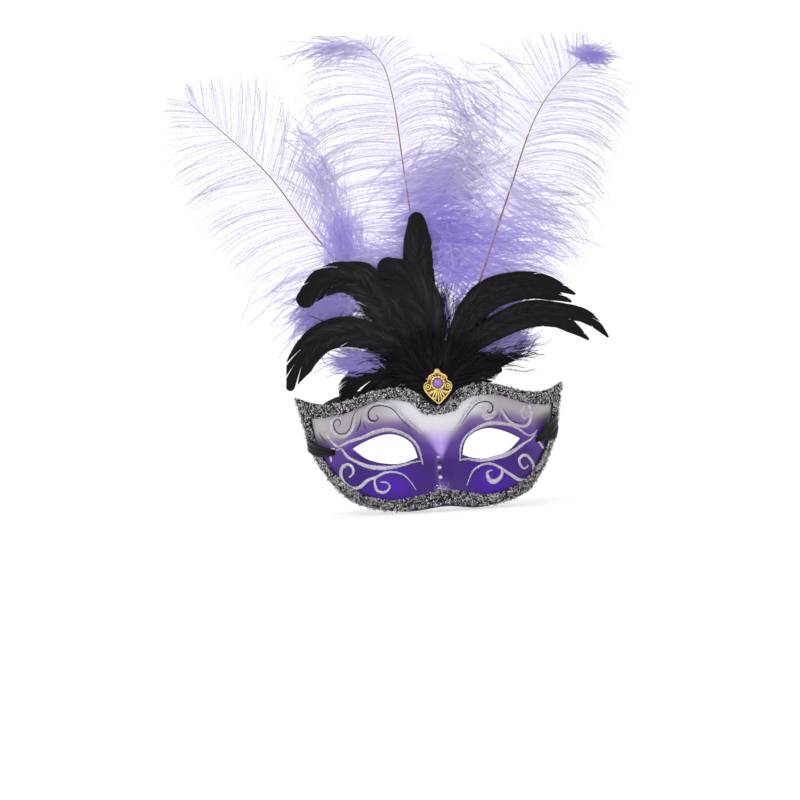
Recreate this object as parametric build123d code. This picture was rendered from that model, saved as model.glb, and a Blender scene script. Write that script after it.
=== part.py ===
from build123d import *
from math import cos, exp, radians, sin
import os

# A venetian half mask, worn over the eyes: a painted shell edged with metallic gimp braid, a small
# brooch over a bound bunch of black coque feathers and three ostrich plumes, and two ribbons tied
# behind the head. Millimetres, +Z up, the front faces -Y and +X is on the viewer's right. The origin
# is on the inside of the nose bridge at eye level, where the mask rests on the wearer.

# ---- mask shell
HALF_WIDTH = 89.0        # centre line to an upper corner, seen from the front
SHELL = 1.6              # wall thickness
WRAP_DEPTH = 50.0        # how far back the sides curve round the face
WRAP_POWER = 2.6
NOSE_BRIDGE = 8.0        # height of the bridge above the face beside it
NOSE_DROP = 18.0         # extra height at the bottom edge
NOSE_HALF_WIDTH = 8.5
BROW = 7.0               # how far the brow stands forward
SOCKET = 3.5             # depth of the eye sockets
CHEEK = 3.0
BOTTOM = 44.0            # lowest point below eye level
TOP_EDGE = [(0, 24), (6, 27), (12, 33), (20, 37), (29, 38), (38.5, 37), (57, 31.5), (68, 30), (77, 30.8)]
CORNER = (HALF_WIDTH, 35.6)
LOWER_EDGE = [(85, 18), (79.7, -3.5), (71, -20.5), (58.7, -34.5), (40, -41.7), (20, -BOTTOM), (0, -41.5)]
EYE_UPPER = [(14.2, -9), (17, 0), (24, 6.3), (32, 8.5), (44, 5.7), (56, -0.5)]
EYE_LOWER = [(56, -0.5), (48, -7.5), (36, -11.8), (26, -12.3), (14.2, -9)]

# ---- braid, laid on the shell along its edge
BRAID = 2.2
BRAID_PEAK = 90.0        # the point over the top that the two braids' meeting lines lead to
BRAID_TOP_INNER = [(0, 19.5), (10, 21), (17, 27), (28, 30.2), (39, 29.8), (60, 23), (70, 21.6)]
BRAID_CORNER = (80, 22)
BRAID_LOWER_INNER = [(77.5, 6), (74, -5), (66, -18), (53, -29.5), (40, -34.5), (20, -35.8), (0, -32.5)]
LAYER_GAP = 0.05         # glue line between trims and what they lie on

# ---- feathers: all spring from one binding, whose axis runs front to back
BINDING_Z = 38.0
BINDING_RADIUS = 6.5
BINDING_FRONT = -5.6
BINDING_BACK = 14.0
ROOT_RADIUS = 6.9        # where the quills leave the binding
FAN_LEAN = 0.20          # how a feather leans back as it rises
FAN_CURL = 0.00075
COQUE_THICKNESS = 0.3
COQUE_STEP = 0.5         # from one feather to the next behind it
COQUE_FRONT = -1.5
COQUE_REACH = 150.0      # past the longest coque feather
LOW_LEAN = 0.36          # the lowest feathers pass behind the mask
QUILL_HALF_WIDTH = 0.7
# share of the full width along the shaft, to a round tip, to a slim tip, and after a longer bare quill
BLADE = [0, 0.3, 0.68, 0.9, 1.0, 1.0, 0.97, 0.88, 0.68]
SLIM_BLADE = [0, 0.3, 0.68, 0.9, 1.0, 1.0, 0.9, 0.7, 0.35]
SIDE_BLADE = [0, 0.03, 0.45, 0.8, 0.97, 1.0, 0.92, 0.78, 0.55]
SLIM_WIDTH = 14.0        # feathers narrower than this end in a slim tip
# name: (place from front to back, width, shaft from the binding to the tip); the side ones lean more
COQUE = {
    "left_low_outer": (0, 20, [(-18, 58), (-37, 71), (-57, 77), (-74, 73), (-85, 62), (-95, 43)]),
    "left_low_inner": (1, 18, [(-18, 56), (-35, 70), (-51, 78), (-65, 78), (-78, 70), (-86, 59)]),
    "right_low_outer": (2, 12.5, [(15, 56), (31, 70), (50, 80), (69, 85), (88, 83), (105, 79), (121, 64)]),
    "right_low_inner": (3, 12.5, [(17, 54), (33, 66), (52, 75), (69, 79), (86, 77), (107, 63)]),
    "centre_left_front": (4, 27, [(-1, 65), (-3, 88), (-9, 103), (-17, 113), (-25, 118)]),
    "right_high_outer": (5, 13.5, [(11, 62), (21, 82), (36, 98), (55, 104), (74, 104), (100, 94)]),
    "right_high_inner": (6, 12.5, [(15, 62), (27, 80), (42, 92), (58, 97), (74, 97), (97, 89)]),
    "centre_left_back": (7, 24, [(-9, 62), (-15, 85), (-20, 102), (-27, 111)]),
    "left_high_outer": (8, 22, [(-17, 66), (-32, 92), (-42, 107), (-55, 114), (-69, 111), (-81, 101)]),
    "left_high_inner": (9, 18, [(-13, 68), (-26, 95), (-34, 109), (-46, 116), (-62, 113)]),
    "centre_upright": (10, 21, [(-2, 80), (-5, 111), (-4, 131), (-3, 149)]),
    "left_side_upper": (11, 18, [(-16, 48), (-29, 54), (-41, 56), (-52, 52)]),
    "right_side_upper": (12, 18, [(14, 46), (29, 53), (43, 55), (54, 55)]),
    "left_side_lower": (13, 25, [(-19, 46), (-36, 46), (-51, 40), (-60, 30)]),
    "right_side_lower": (14, 18, [(16, 42), (31, 45), (45, 46)]),
}
PLUME_QUILL = 2.0        # quill width at the binding
PLUME_QUILL_TIP = 0.7
PLUME_VANE = 0.8
PLUME_FRONT = 7.0        # middle of the foremost plume's quill
PLUME_STEP = 2.4
PLUME_LEAN_STEP = 0.02   # each plume behind leans a little more
PLUME_REACH = 300.0      # past the longest plume
# name: (place from front to back, shaft from the binding to the tip, outline of the barbs)
PLUMES = {
    "right": (
        0,
        [(15, 65), (34, 102), (53, 145), (66, 174), (80, 205), (94, 228), (111, 245), (125, 256)],
        [(14, 96), (16, 152), (26, 200), (44, 250), (64, 268), (89, 277), (113, 280), (152, 266),
         (162, 240), (153, 207), (135, 154), (111, 112), (98, 99), (64, 92), (34, 82)],
    ),
    "centre": (
        1,
        [(-4, 90), (-6, 152), (-8, 199), (-11, 247), (-16, 262), (-26, 271)],
        [(-38, 96), (-59, 131), (-71, 168), (-80, 215), (-74, 250), (-53, 277), (-21, 283), (10, 280),
         (38, 264), (60, 237), (58, 175), (42, 111), (18, 91), (-12, 86)],
    ),
    "left": (
        2,
        [(-26, 78), (-52, 118), (-76, 152), (-96, 185), (-126, 220), (-148, 244)],
        [(-50, 190), (-75, 231), (-90, 256), (-125, 262), (-161, 252), (-169, 212), (-150, 155),
         (-120, 109), (-96, 86), (-78, 74), (-56, 76)],
    ),
}

# ---- brooch
BROOCH_BACK = -7.6
BROOCH_PLATE = 1.2
BROOCH_EDGE = [(0, 25.5), (4.6, 29.6), (7.4, 33.6), (9.2, 37.6), (8, 41.2), (6.6, 44), (3.6, 45.7),
               (0, 46.2)]
GEM_Z = 39.5
GEM_RADIUS = 3.3
BEZEL_TUBE = 0.7
FINIAL_Z = 46.6
FINIAL_RADIUS = 1.7
BEAD_RADIUS = 0.75
BEADS = [(7.7, 37.8), (5.9, 43.0), (5.6, 33.4), (3.1, 29.6)]

# ---- felt patch that holds the binding to the inside of the mask
PATCH_HALF_WIDTH = 16.0
PATCH = 1.0
PATCH_LOW = 5.0
PATCH_HIGH = 34.0
PATCH_CORNER = 6.0

# ---- ribbons: flat satin, tied in a bow behind the head
RIBBON = 10.0
RIBBON_THICKNESS = 0.8
RIBBON_NECK = 6.4        # gathered where it passes through the slot
SLOT_X = 68.8
SLOT_Z = -2.0
SLOT_SIZE = (6.8, 8.0)
RIBBON_X = 70.0          # where the ribbons' plane meets the inner surface
RIBBON_RISE = 14.0       # degrees: the ribbons climb towards the back of the head
NECK_SHARE = 0.62        # how much of the first run stays gathered
NECK_OPENING = 9.0       # length over which it opens to full width
RUN_SHARE = 0.45         # share of the shorter run that a bend takes on each side
KNOT_X = 12.0
KNOT = (16.0, 9.0, 12.0)
KNOT_CLEAR = 0.6         # from the knot to the loops and tails beside it
STOP_KNOT = (4.0, 5.0, 9.0)
TAIL_GAP = 5.2           # each tail's middle from the knot's
TAIL_ROUTE = [(0, 0), (3.5, -13), (4.5, -28), (2.0, -43), (3.0, -58), (1.5, -70)]
LOOP_LENGTH = 42.0
LOOP_DEPTH = 12.0
LOOP_DROOP = 16.0


def nose(x, z):
    """Height of the nose over the face beside it: low at the brow, high at the bottom edge."""
    drop = max(0.0, -z / BOTTOM) ** 1.6
    rise = min(1.0, max(0.0, z / 25))
    rise = rise * rise * (3 - 2 * rise)
    height = NOSE_BRIDGE * (1 - 0.7 * rise) + NOSE_DROP * drop
    half_width = NOSE_HALF_WIDTH + 5 * drop
    return height * exp(-((x / half_width) ** 2) / 2)


def face_depth(x, z):
    """Depth of the inner surface behind the front of the nose bridge, before it is set to the origin."""
    wrap = WRAP_DEPTH * (abs(x) / HALF_WIDTH) ** WRAP_POWER
    lift = min(1.0, max(0.0, (z - 2) / 22))
    brow = BROW * lift * lift * (3 - 2 * lift) * exp(-((x / 62) ** 2))
    socket = SOCKET * exp(-(((abs(x) - 34) / 17) ** 2) - (z / 9) ** 2)
    cheek = CHEEK * exp(-(((abs(x) - 45) / 18) ** 2) - ((z + 30) / 12) ** 2)
    return wrap - nose(x, z) - brow + socket - cheek


def inner_y(x, z):
    """Y of the mask's inner surface, which is 0 on the nose bridge at eye level."""
    return face_depth(x, z) - face_depth(0, 0)


def forward_normal(x, z):
    """Unit normal of the inner surface, pointing out of the front of the mask."""
    step = 0.1
    slope_x = (inner_y(x + step, z) - inner_y(x - step, z)) / (2 * step)
    slope_z = (inner_y(x, z + step) - inner_y(x, z - step)) / (2 * step)
    return Vector(slope_x, -1, slope_z).normalized()


def skin(gap):
    """A face in front of the inner surface by an even gap, a little larger than the mask."""
    spacing = 4.0
    columns = range(-24, 25)
    rows = range(-13, 13)
    grid = []
    for row in rows:
        z = row * spacing - 2
        line = []
        for column in columns:
            x = column * spacing
            line.append(Vector(x, inner_y(x, z), z) + forward_normal(x, z) * gap)
        grid.append(line)
    return Face.make_surface_from_array_of_points(grid, tol=0.02)


def sheet_on_mask(gap, thickness):
    """A closed sheet of even thickness that follows the mask at a gap in front of its inner surface."""
    back = skin(gap)
    front = skin(gap + thickness)
    sides = [Face.make_surface_from_curves(a, b) for a, b in zip(back.edges(), front.edges())]
    return Solid(Shell([back, front] + sides))


def at(points, side=1):
    """Points of the front view, given as (x, z), on the right half or mirrored onto the left."""
    return [Vector(side * x, 0, z) for x, z in points]


def prism(*lines):
    """A block that runs front to back, wider than the object, with the given outline."""
    front = -60.0
    depth = 240.0
    outline = Face(Wire([edge for line in lines for edge in line.edges()]))
    return extrude(outline.moved(Location((0, front, 0))), amount=depth, dir=(0, 1, 0))


def mirrored_outline(half_top, corner, half_bottom):
    """A closed outline from a top and a bottom half edge that meet at a corner on each side."""
    left_top = at([corner] + half_top[::-1], -1)
    right_top = at(half_top[1:] + [corner], 1)
    left_bottom = at([corner] + half_bottom, -1)
    right_bottom = at((half_bottom[:-1])[::-1] + [corner], 1)
    return Spline(left_top + right_top), Spline(left_bottom + right_bottom)


def cut_mask():
    """The shell, with its eye holes and the two ribbon slots."""
    shell = sheet_on_mask(0, SHELL) & prism(*mirrored_outline(TOP_EDGE, CORNER, LOWER_EDGE))
    for side in (-1, 1):
        shell -= prism(Spline(at(EYE_UPPER, side)), Spline(at(EYE_LOWER, side)))
        slot = Box(SLOT_SIZE[0], 60, SLOT_SIZE[1])
        shell -= slot.moved(Location((side * SLOT_X, inner_y(SLOT_X, SLOT_Z), SLOT_Z)))
    return shell


def cut_braids():
    """The two lengths of braid: along the top edge, and round the sides and bottom."""
    band = sheet_on_mask(SHELL + LAYER_GAP, BRAID) & prism(*mirrored_outline(TOP_EDGE, CORNER, LOWER_EDGE))
    band -= prism(*mirrored_outline(BRAID_TOP_INNER, BRAID_CORNER, BRAID_LOWER_INNER))
    past = [2 * outer - inner for outer, inner in zip(CORNER, BRAID_CORNER)]
    half = [(0, 0), BRAID_CORNER, past, (0, BRAID_PEAK)]
    upper_block = prism(Polyline(*at(half), *at(half[-2::-1], -1)))
    return band & upper_block, band - upper_block


def fan_y(radius, front, lean):
    """Y of a feather's layer at a distance from the binding's axis."""
    return front + lean * radius + FAN_CURL * radius * radius


def fan_sheet(front, lean, thickness, reach):
    """A shallow dish round the binding's axis that one feather is cut from."""
    inside = ROOT_RADIUS - 1
    face = [Vector(r, fan_y(r, front, lean), BINDING_Z) for r in (inside, (inside + reach) / 2, reach)]
    back = [point + Vector(0, thickness, 0) for point in face]
    sides = [Line(face[2], back[2]), Line(back[0], face[0])]
    profile = Face(Wire([ThreePointArc(*face), sides[0], ThreePointArc(*back[::-1]), sides[1]]))
    return revolve(profile, axis=Axis((0, 0, BINDING_Z), (0, 1, 0)))


def from_binding(route):
    """A feather's shaft as points: it leaves the binding towards its first point."""
    first = Vector(route[0][0], 0, route[0][1] - BINDING_Z).normalized() * ROOT_RADIUS
    return [Vector(first.X, 0, BINDING_Z + first.Z)] + at(route)


def strip(route, half_widths):
    """A block cut to a strip along a shaft, from half widths at even steps, with a round tip."""
    shaft = Spline(from_binding(route))
    last = len(half_widths) - 1
    left = []
    right = []
    for i, half in enumerate(half_widths):
        along = shaft % (i / last)
        side = Vector(-along.Z, 0, along.X) * half
        left.append(shaft @ (i / last) + side)
        right.append(shaft @ (i / last) - side)
    tip = shaft @ 1 + (shaft % 1) * half_widths[-1]
    cap = ThreePointArc(left[-1], tip, right[-1])
    return prism(Spline(left), cap, Spline(right[::-1]), Line(right[0], left[0]))


def coque_feather(name, place, width, route):
    """A cock's tail feather: a bare quill that opens into a blade with a round tip."""
    lean = LOW_LEAN if "side" in name else FAN_LEAN
    blade = SLIM_BLADE if width < SLIM_WIDTH else BLADE
    if "side" in name:
        blade = SIDE_BLADE
    half_widths = [QUILL_HALF_WIDTH + share * (width / 2 - QUILL_HALF_WIDTH) for share in blade]
    layer = fan_sheet(COQUE_FRONT + place * COQUE_STEP, lean, COQUE_THICKNESS, COQUE_REACH)
    return layer & strip(route, half_widths)


def plume(place, route, outline):
    """An ostrich plume: its tapered quill, and behind it the body of its barbs."""
    lean = FAN_LEAN + place * PLUME_LEAN_STEP
    middle = PLUME_FRONT + place * PLUME_STEP
    steps = 6
    taper = [(PLUME_QUILL + (PLUME_QUILL_TIP - PLUME_QUILL) * i / steps) / 2 for i in range(steps + 1)]
    quill = fan_sheet(middle - PLUME_QUILL / 2, lean, PLUME_QUILL, PLUME_REACH) & strip(route, taper)
    back = middle + PLUME_QUILL / 2 + LAYER_GAP
    vane = fan_sheet(back, lean, PLUME_VANE, PLUME_REACH) & prism(Spline(at(outline), periodic=True))
    return quill, vane


def binding():
    """The wrapped and glued butts of all the quills."""
    length = BINDING_BACK - BINDING_FRONT
    core = Cylinder(BINDING_RADIUS, length, rotation=(90, 0, 0))
    return core.moved(Location((0, (BINDING_BACK + BINDING_FRONT) / 2, BINDING_Z)))


def felt_patch():
    """The patch glued over the top of the nose bridge inside the shell, up to the binding."""
    height = PATCH_HIGH - PATCH_LOW
    outline = Plane.XZ * RectangleRounded(2 * PATCH_HALF_WIDTH, height, PATCH_CORNER)
    outline = outline.moved(Location((0, 0, (PATCH_HIGH + PATCH_LOW) / 2)))
    return sheet_on_mask(-PATCH - LAYER_GAP, PATCH) & prism(outline.wire()) - binding()


def brooch():
    """Plate, bezel, stone, finial and grains of the brooch, each a piece of its own."""
    front = BROOCH_BACK - BROOCH_PLATE
    right_edge = Spline(at(BROOCH_EDGE))
    left_edge = Spline(at(BROOCH_EDGE, -1))
    outline = Face(Wire([right_edge, left_edge]))
    plate = extrude(outline.moved(Location((0, BROOCH_BACK, 0))), amount=BROOCH_PLATE, dir=(0, -1, 0))
    bezel = Torus(GEM_RADIUS + BEZEL_TUBE, BEZEL_TUBE, rotation=(90, 0, 0))
    bezel = bezel.moved(Location((0, front - BEZEL_TUBE - LAYER_GAP, GEM_Z)))
    dome = Sphere(GEM_RADIUS) & Box(20, 20, 20, align=(Align.CENTER, Align.MAX, Align.CENTER))
    dome = scale(dome, by=(1, 0.75, 1))
    gem = dome.moved(Location((0, front - LAYER_GAP, GEM_Z)))
    finial = scale(Sphere(FINIAL_RADIUS), by=(1.25, 1, 1))
    finial = finial.moved(Location((0, front - FINIAL_RADIUS - LAYER_GAP, FINIAL_Z)))
    beads = []
    for x, z in BEADS:
        for side in (-1, 1):
            bead = Sphere(BEAD_RADIUS).moved(Location((side * x, front - BEAD_RADIUS - LAYER_GAP, z)))
            beads.append(bead)
    return plate, bezel, gem, finial, Compound(beads)


def filleted(route):
    """A flat route of straight runs with tangent arcs as large as the runs allow; prints their radii."""
    points = [Vector(x, y) for x, y in route]
    radii = []
    for before, point, after in zip(points, points[1:], points[2:]):
        first = point - before
        second = after - point
        half_turn = radians(first.get_angle(second)) / 2
        shorter = min(first.length, second.length)
        radii.append(RUN_SHARE * shorter * cos(half_turn) / sin(half_turn))
    print("bend radii", [round(radius, 1) for radius in radii])
    return FilletPolyline(*points, radius=radii)


def band(route, width):
    """A flat band that stands on edge along a flat route, centred on the XY plane."""
    line = filleted(route)
    solid = extrude(trace(line, RIBBON_THICKNESS), amount=width / 2, both=True)
    expected = line.length * width * RIBBON_THICKNESS
    print("volume", round(solid.volume, 1), "section x length", round(expected, 1))
    return solid


# The ribbons' routes, seen square on to their sloping plane: x across, and the distance back from
# the slot. Each starts inside the mask, passes out through the slot, over the braid and round the
# edge, then back along the head to the knot.
RIBBON_RIGHT = [(61.0, -3.0), (76.8, -3.4), (84.7, 6.2), (84.6, 16.5), (81.0, 33.0), (75.8, 60.0),
                (74.0, 87.0), (68.0, 111.0), (57.0, 131.0), (41.0, 145.5), (KNOT_X + KNOT[0] / 2, 152.0)]
RIBBON_LEFT = [(-61.0, -3.0), (-76.8, -3.4), (-84.7, 6.2), (-84.6, 16.5), (-81.0, 33.0), (-75.8, 60.0),
               (-74.0, 87.0), (-68.0, 111.0), (-57.0, 131.0), (-41.0, 145.5), (-20.0, 152.0),
               (KNOT_X - KNOT[0] / 2, 153.5)]


def slope_plane():
    """Where the ribbons' plane lies: through the slots, climbing to the back."""
    return Location((0, inner_y(RIBBON_X, SLOT_Z), SLOT_Z), (RIBBON_RISE, 0, 0))


def ribbon(route, side):
    """One ribbon, gathered to its neck at the slot and full width once it is over the braid."""
    solid = band(route, RIBBON)
    start = Vector(*route[0])
    over = Vector(*route[1])
    along = (over - start).normalized()
    narrow = RIBBON_NECK / 2
    full = RIBBON / 2 + 1
    before = -4.0
    neck_end = NECK_SHARE * (over - start).length
    for up in (-1, 1):
        wedge = Polyline((before, up * narrow), (neck_end, up * narrow), (neck_end + NECK_OPENING, up * full),
                         (before, up * full), (before, up * narrow))
        plane = Plane(origin=start, x_dir=along, z_dir=(along.Y, -along.X, 0))
        cutter = extrude(Face(Wire(plane.from_local_coords(wedge).edges())), amount=RIBBON, both=True)
        solid -= cutter
    return solid.moved(slope_plane())


def stop_knot(route):
    """The knot that keeps a ribbon from pulling out through its slot."""
    start = Vector(*route[0])
    along = (Vector(*route[1]) - start).normalized()
    knot = fillet(Box(*STOP_KNOT).edges(), 1.4)
    plane = Plane(origin=start - along * (STOP_KNOT[0] / 2), x_dir=along, z_dir=(0, 0, 1))
    return knot.moved(plane.location).moved(slope_plane())


def bow():
    """The knot behind the head, its two loops and the two hanging tails."""
    back = RIBBON_RIGHT[-1][1]
    centre = Location((KNOT_X, back + 0.5, 0))
    knot = fillet(Box(*KNOT).edges(), 3.0)
    pieces = {"bow_knot": knot.moved(centre).moved(slope_plane())}
    middle = (slope_plane() * centre).position
    for name, side in (("left", -1), ("right", 1)):
        root = side * (KNOT[0] / 2 - 1.0)
        behind = KNOT[1] / 2 + KNOT_CLEAR
        out = side * LOOP_LENGTH
        loop_points = [(root, behind), (0.5 * out, behind + 0.25 * LOOP_DEPTH),
                       (out, behind + 0.5 * LOOP_DEPTH), (0.5 * out, behind + LOOP_DEPTH),
                       (root, behind + 0.45 * LOOP_DEPTH)]
        loop = extrude(trace(Spline(loop_points), RIBBON_THICKNESS), amount=RIBBON / 2, both=True)
        loop = loop.moved(Location((0, 0, 0), (0, side * LOOP_DROOP, 0)))
        pieces["bow_loop_" + name] = loop.moved(Location(middle))
        tail_line = filleted(TAIL_ROUTE)
        tail = extrude(trace(tail_line, RIBBON_THICKNESS), amount=(RIBBON - 0.4) / 2, both=True)
        top = middle + Vector(side * TAIL_GAP, 0, -KNOT[2] / 2 - KNOT_CLEAR)
        stand = Plane(origin=top, x_dir=(0, 1, 0), z_dir=(1, 0, 0))
        pieces["bow_tail_" + name] = tail.moved(stand.location)
    return pieces


def build_nodes():
    """Every piece of the mask by name."""
    nodes = {"mask_shell": cut_mask()}
    nodes["braid_top"], nodes["braid_bottom"] = cut_braids()
    nodes["quill_binding"] = binding()
    nodes["felt_patch"] = felt_patch()
    for name, feather in COQUE.items():
        nodes["coque_" + name] = coque_feather(name, *feather)
    for name, details in PLUMES.items():
        nodes["plume_%s_quill" % name], nodes["plume_%s_vane" % name] = plume(*details)
    plate, bezel, gem, finial, beads = brooch()
    nodes["brooch_plate"] = plate
    nodes["brooch_bezel"] = bezel
    nodes["brooch_gem"] = gem
    nodes["brooch_finial"] = finial
    nodes["brooch_beads"] = beads
    for name, route, side in (("left", RIBBON_LEFT, -1), ("right", RIBBON_RIGHT, 1)):
        nodes["ribbon_" + name] = ribbon(route, side)
        nodes["ribbon_stop_" + name] = stop_knot(route)
    nodes.update(bow())
    return nodes


os.makedirs("parts", exist_ok=True)
for node_name, solid in build_nodes().items():
    export_step(solid, "parts/%s.step" % node_name)
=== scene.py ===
import math

import bpy
import numpy as np
from mathutils import Matrix, Vector
from mathutils.geometry import delaunay_2d_cdt


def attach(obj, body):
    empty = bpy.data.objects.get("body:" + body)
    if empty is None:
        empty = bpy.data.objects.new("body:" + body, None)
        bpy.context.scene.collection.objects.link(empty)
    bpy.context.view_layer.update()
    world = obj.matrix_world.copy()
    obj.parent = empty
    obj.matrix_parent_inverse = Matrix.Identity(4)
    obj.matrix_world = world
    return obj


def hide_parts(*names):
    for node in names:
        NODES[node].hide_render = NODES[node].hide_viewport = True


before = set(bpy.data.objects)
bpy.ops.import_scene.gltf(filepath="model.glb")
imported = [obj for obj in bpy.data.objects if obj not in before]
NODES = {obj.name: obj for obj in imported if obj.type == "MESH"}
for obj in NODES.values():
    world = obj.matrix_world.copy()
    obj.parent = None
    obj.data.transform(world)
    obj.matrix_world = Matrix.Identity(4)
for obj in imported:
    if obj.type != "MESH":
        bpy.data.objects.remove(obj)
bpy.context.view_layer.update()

# Looks for the venetian mask. Lengths are in millimetres in this file, apart from what is given to
# Blender, which is in metres. Outlines and routes repeat the CAD source's dimensions.
MM = 0.001

# ---- camera, at the photograph's viewing angle
CAMERA_DISTANCE = 2400.0
CAMERA_AZIMUTH = math.radians(-5)
CAMERA_ROLL = math.radians(3.5)
CAMERA_AIM = (-24.6, 29.9)       # across and up, from the origin
PICTURE_WIDTH = 528.0            # millimetres across the picture at the mask
SENSOR = 36.0

right = Vector((math.cos(CAMERA_AZIMUTH), math.sin(CAMERA_AZIMUTH), 0))
forward = Vector((-math.sin(CAMERA_AZIMUTH), math.cos(CAMERA_AZIMUTH), 0))
camera = bpy.data.objects.new("camera", bpy.data.cameras.new("camera"))
bpy.context.scene.collection.objects.link(camera)
camera.data.sensor_width = SENSOR
camera.data.lens = SENSOR * CAMERA_DISTANCE / PICTURE_WIDTH
camera.data.clip_start = 0.05
camera.data.clip_end = 60
camera.location = (right * CAMERA_AIM[0] + Vector((0, 0, CAMERA_AIM[1])) - forward * CAMERA_DISTANCE) * MM
up = Vector((0, 0, 1)) * math.cos(CAMERA_ROLL) + right * math.sin(CAMERA_ROLL)
across = forward.cross(up)
camera.rotation_euler = Matrix((across, up, -forward)).transposed().to_euler()
bpy.context.scene.camera = camera

# ---- the mask's form, as in the CAD source
HALF_WIDTH = 89.0
SHELL = 1.6
BOTTOM = 44.0
TOP_EDGE = [(0, 24), (6, 27), (12, 33), (20, 37), (29, 38), (38.5, 37), (57, 31.5), (68, 30), (77, 30.8)]
CORNER = (HALF_WIDTH, 35.6)
LOWER_EDGE = [(85, 18), (79.7, -3.5), (71, -20.5), (58.7, -34.5), (40, -41.7), (20, -BOTTOM), (0, -41.5)]
EYE_UPPER = [(14.2, -9), (17, 0), (24, 6.3), (32, 8.5), (44, 5.7), (56, -0.5)]
EYE_LOWER = [(56, -0.5), (48, -7.5), (36, -11.8), (26, -12.3), (14.2, -9)]
BRAID_TOP_INNER = [(0, 19.5), (10, 21), (17, 27), (28, 30.2), (39, 29.8), (60, 23), (70, 21.6)]
BRAID_CORNER = (80, 22)
BRAID_LOWER_INNER = [(77.5, 6), (74, -5), (66, -18), (53, -29.5), (40, -34.5), (20, -35.8), (0, -32.5)]
SLOT_X = 68.7
SLOT_Z = -2.0
SLOT_SIZE = (4.4, 4.6)           # as drawn, closer round the gathered ribbon than the CAD slot
BINDING_Z = 38.0
FAN_CURL = 0.00075


def ease(t):
    """0 below 0, 1 above 1, and a smooth step between."""
    t = np.clip(t, 0, 1)
    return t * t * (3 - 2 * t)


def inner_y(x, z):
    """Y of the mask's inner surface."""
    def depth(x, z):
        wrap = 50.0 * (np.abs(x) / HALF_WIDTH) ** 2.6
        drop = np.maximum(0.0, -z / BOTTOM) ** 1.6
        height = 8.0 * (1 - 0.7 * ease(z / 25)) + 18.0 * drop
        nose = height * np.exp(-((x / (8.5 + 5 * drop)) ** 2) / 2)
        brow = 7.0 * ease((z - 2) / 22) * np.exp(-((x / 62) ** 2))
        socket = 3.5 * np.exp(-(((np.abs(x) - 34) / 17) ** 2) - (z / 9) ** 2)
        cheek = 3.0 * np.exp(-(((np.abs(x) - 45) / 18) ** 2) - ((z + 30) / 12) ** 2)
        return wrap - nose - brow + socket - cheek
    return depth(x, z) - depth(np.zeros(1), np.zeros(1))[0]


def on_mask(points, gap):
    """Points (x, z) set at a gap in front of the mask's inner surface, and the normals there."""
    x, z = np.array(points, float).reshape(-1, 2).T
    step = 0.1
    slope_x = (inner_y(x + step, z) - inner_y(x - step, z)) / (2 * step)
    slope_z = (inner_y(x, z + step) - inner_y(x, z - step)) / (2 * step)
    normal = unit(np.stack([slope_x, -np.ones_like(x), slope_z], 1))
    return np.stack([x, inner_y(x, z), z], 1) + normal * np.reshape(gap, (-1, 1)), normal


def unit(v):
    """Vectors of length 1."""
    return v / np.maximum(np.linalg.norm(v, axis=-1, keepdims=True), 1e-9)


# ---- curves
FINE_STEPS = 600


def distances(path):
    """How far along a path each of its points is."""
    return np.r_[0, np.cumsum(np.linalg.norm(np.diff(path, axis=0), axis=1))]


def spline(points, count=None, step=1.0, closed=False):
    """Even points along a smooth curve through the given ones."""
    p = np.array(points, float)
    n = len(p)
    if closed:
        p = np.concatenate([p[-3:], p, p[:4]])
    t = distances(p)
    h = np.diff(t)
    matrix = np.eye(len(p))
    target = np.zeros_like(p)
    for i in range(1, len(p) - 1):
        matrix[i, i - 1:i + 2] = h[i - 1], 2 * (h[i - 1] + h[i]), h[i]
        target[i] = 3 * ((p[i + 1] - p[i]) / h[i] - (p[i] - p[i - 1]) / h[i - 1])
    c = np.linalg.solve(matrix, target)
    fine = np.linspace(t[3], t[3 + n], FINE_STEPS) if closed else np.linspace(0, t[-1], FINE_STEPS)
    k = np.clip(np.searchsorted(t, fine, side="right") - 1, 0, len(p) - 2)
    d = (fine - t[k])[:, None]
    b = (p[k + 1] - p[k]) / h[k][:, None] - h[k][:, None] * (2 * c[k] + c[k + 1]) / 3
    q = p[k] + b * d + c[k] * d ** 2 + (c[k + 1] - c[k]) / (3 * h[k][:, None]) * d ** 3
    s = distances(q)
    even = np.linspace(0, s[-1], count or int(s[-1] / step) + 2)
    return np.stack([np.interp(even, s, q[:, i]) for i in range(q.shape[1])], 1)


def length_of(path):
    """How long a path is."""
    return float(np.linalg.norm(np.diff(path, axis=0), axis=1).sum())


def along(path, t):
    """Points at shares t of an evenly spaced path; it runs on straight past its ends."""
    t = np.asarray(t, float)
    n = len(path) - 1
    k = np.clip(np.floor(t * n).astype(int), 0, n - 1)
    f = (t * n - k)[..., None]
    return path[k] * (1 - f) + path[k + 1] * f


def heading(path, t):
    """Unit directions of a path at shares t."""
    step = 0.01
    t = np.clip(np.asarray(t, float), step, 1 - step)
    return unit(along(path, t + step) - along(path, t - step))


def inside(outline, x, z):
    """Which points lie in a closed outline."""
    a = np.asarray(outline)
    b = np.roll(a, -1, axis=0)
    found = np.zeros(np.shape(x), bool)
    for (ax, az), (bx, bz) in zip(a, b):
        crosses = (az > z) != (bz > z)
        found ^= crosses & (x < (bx - ax) * (z - az) / (bz - az + 1e-12) + ax)
    return found


def mirrored(half_top, corner, half_bottom):
    """A closed outline from a top and a bottom half edge that meet at a corner on each side."""
    def flip(points):
        return [(-x, z) for x, z in points]
    top = spline(flip([corner] + half_top[::-1]) + half_top[1:] + [corner], step=1.2)
    bottom = spline([corner] + half_bottom + flip(half_bottom[:-1][::-1] + [corner]), step=1.2)
    return np.concatenate([top[:-1], bottom[:-1]])


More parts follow.
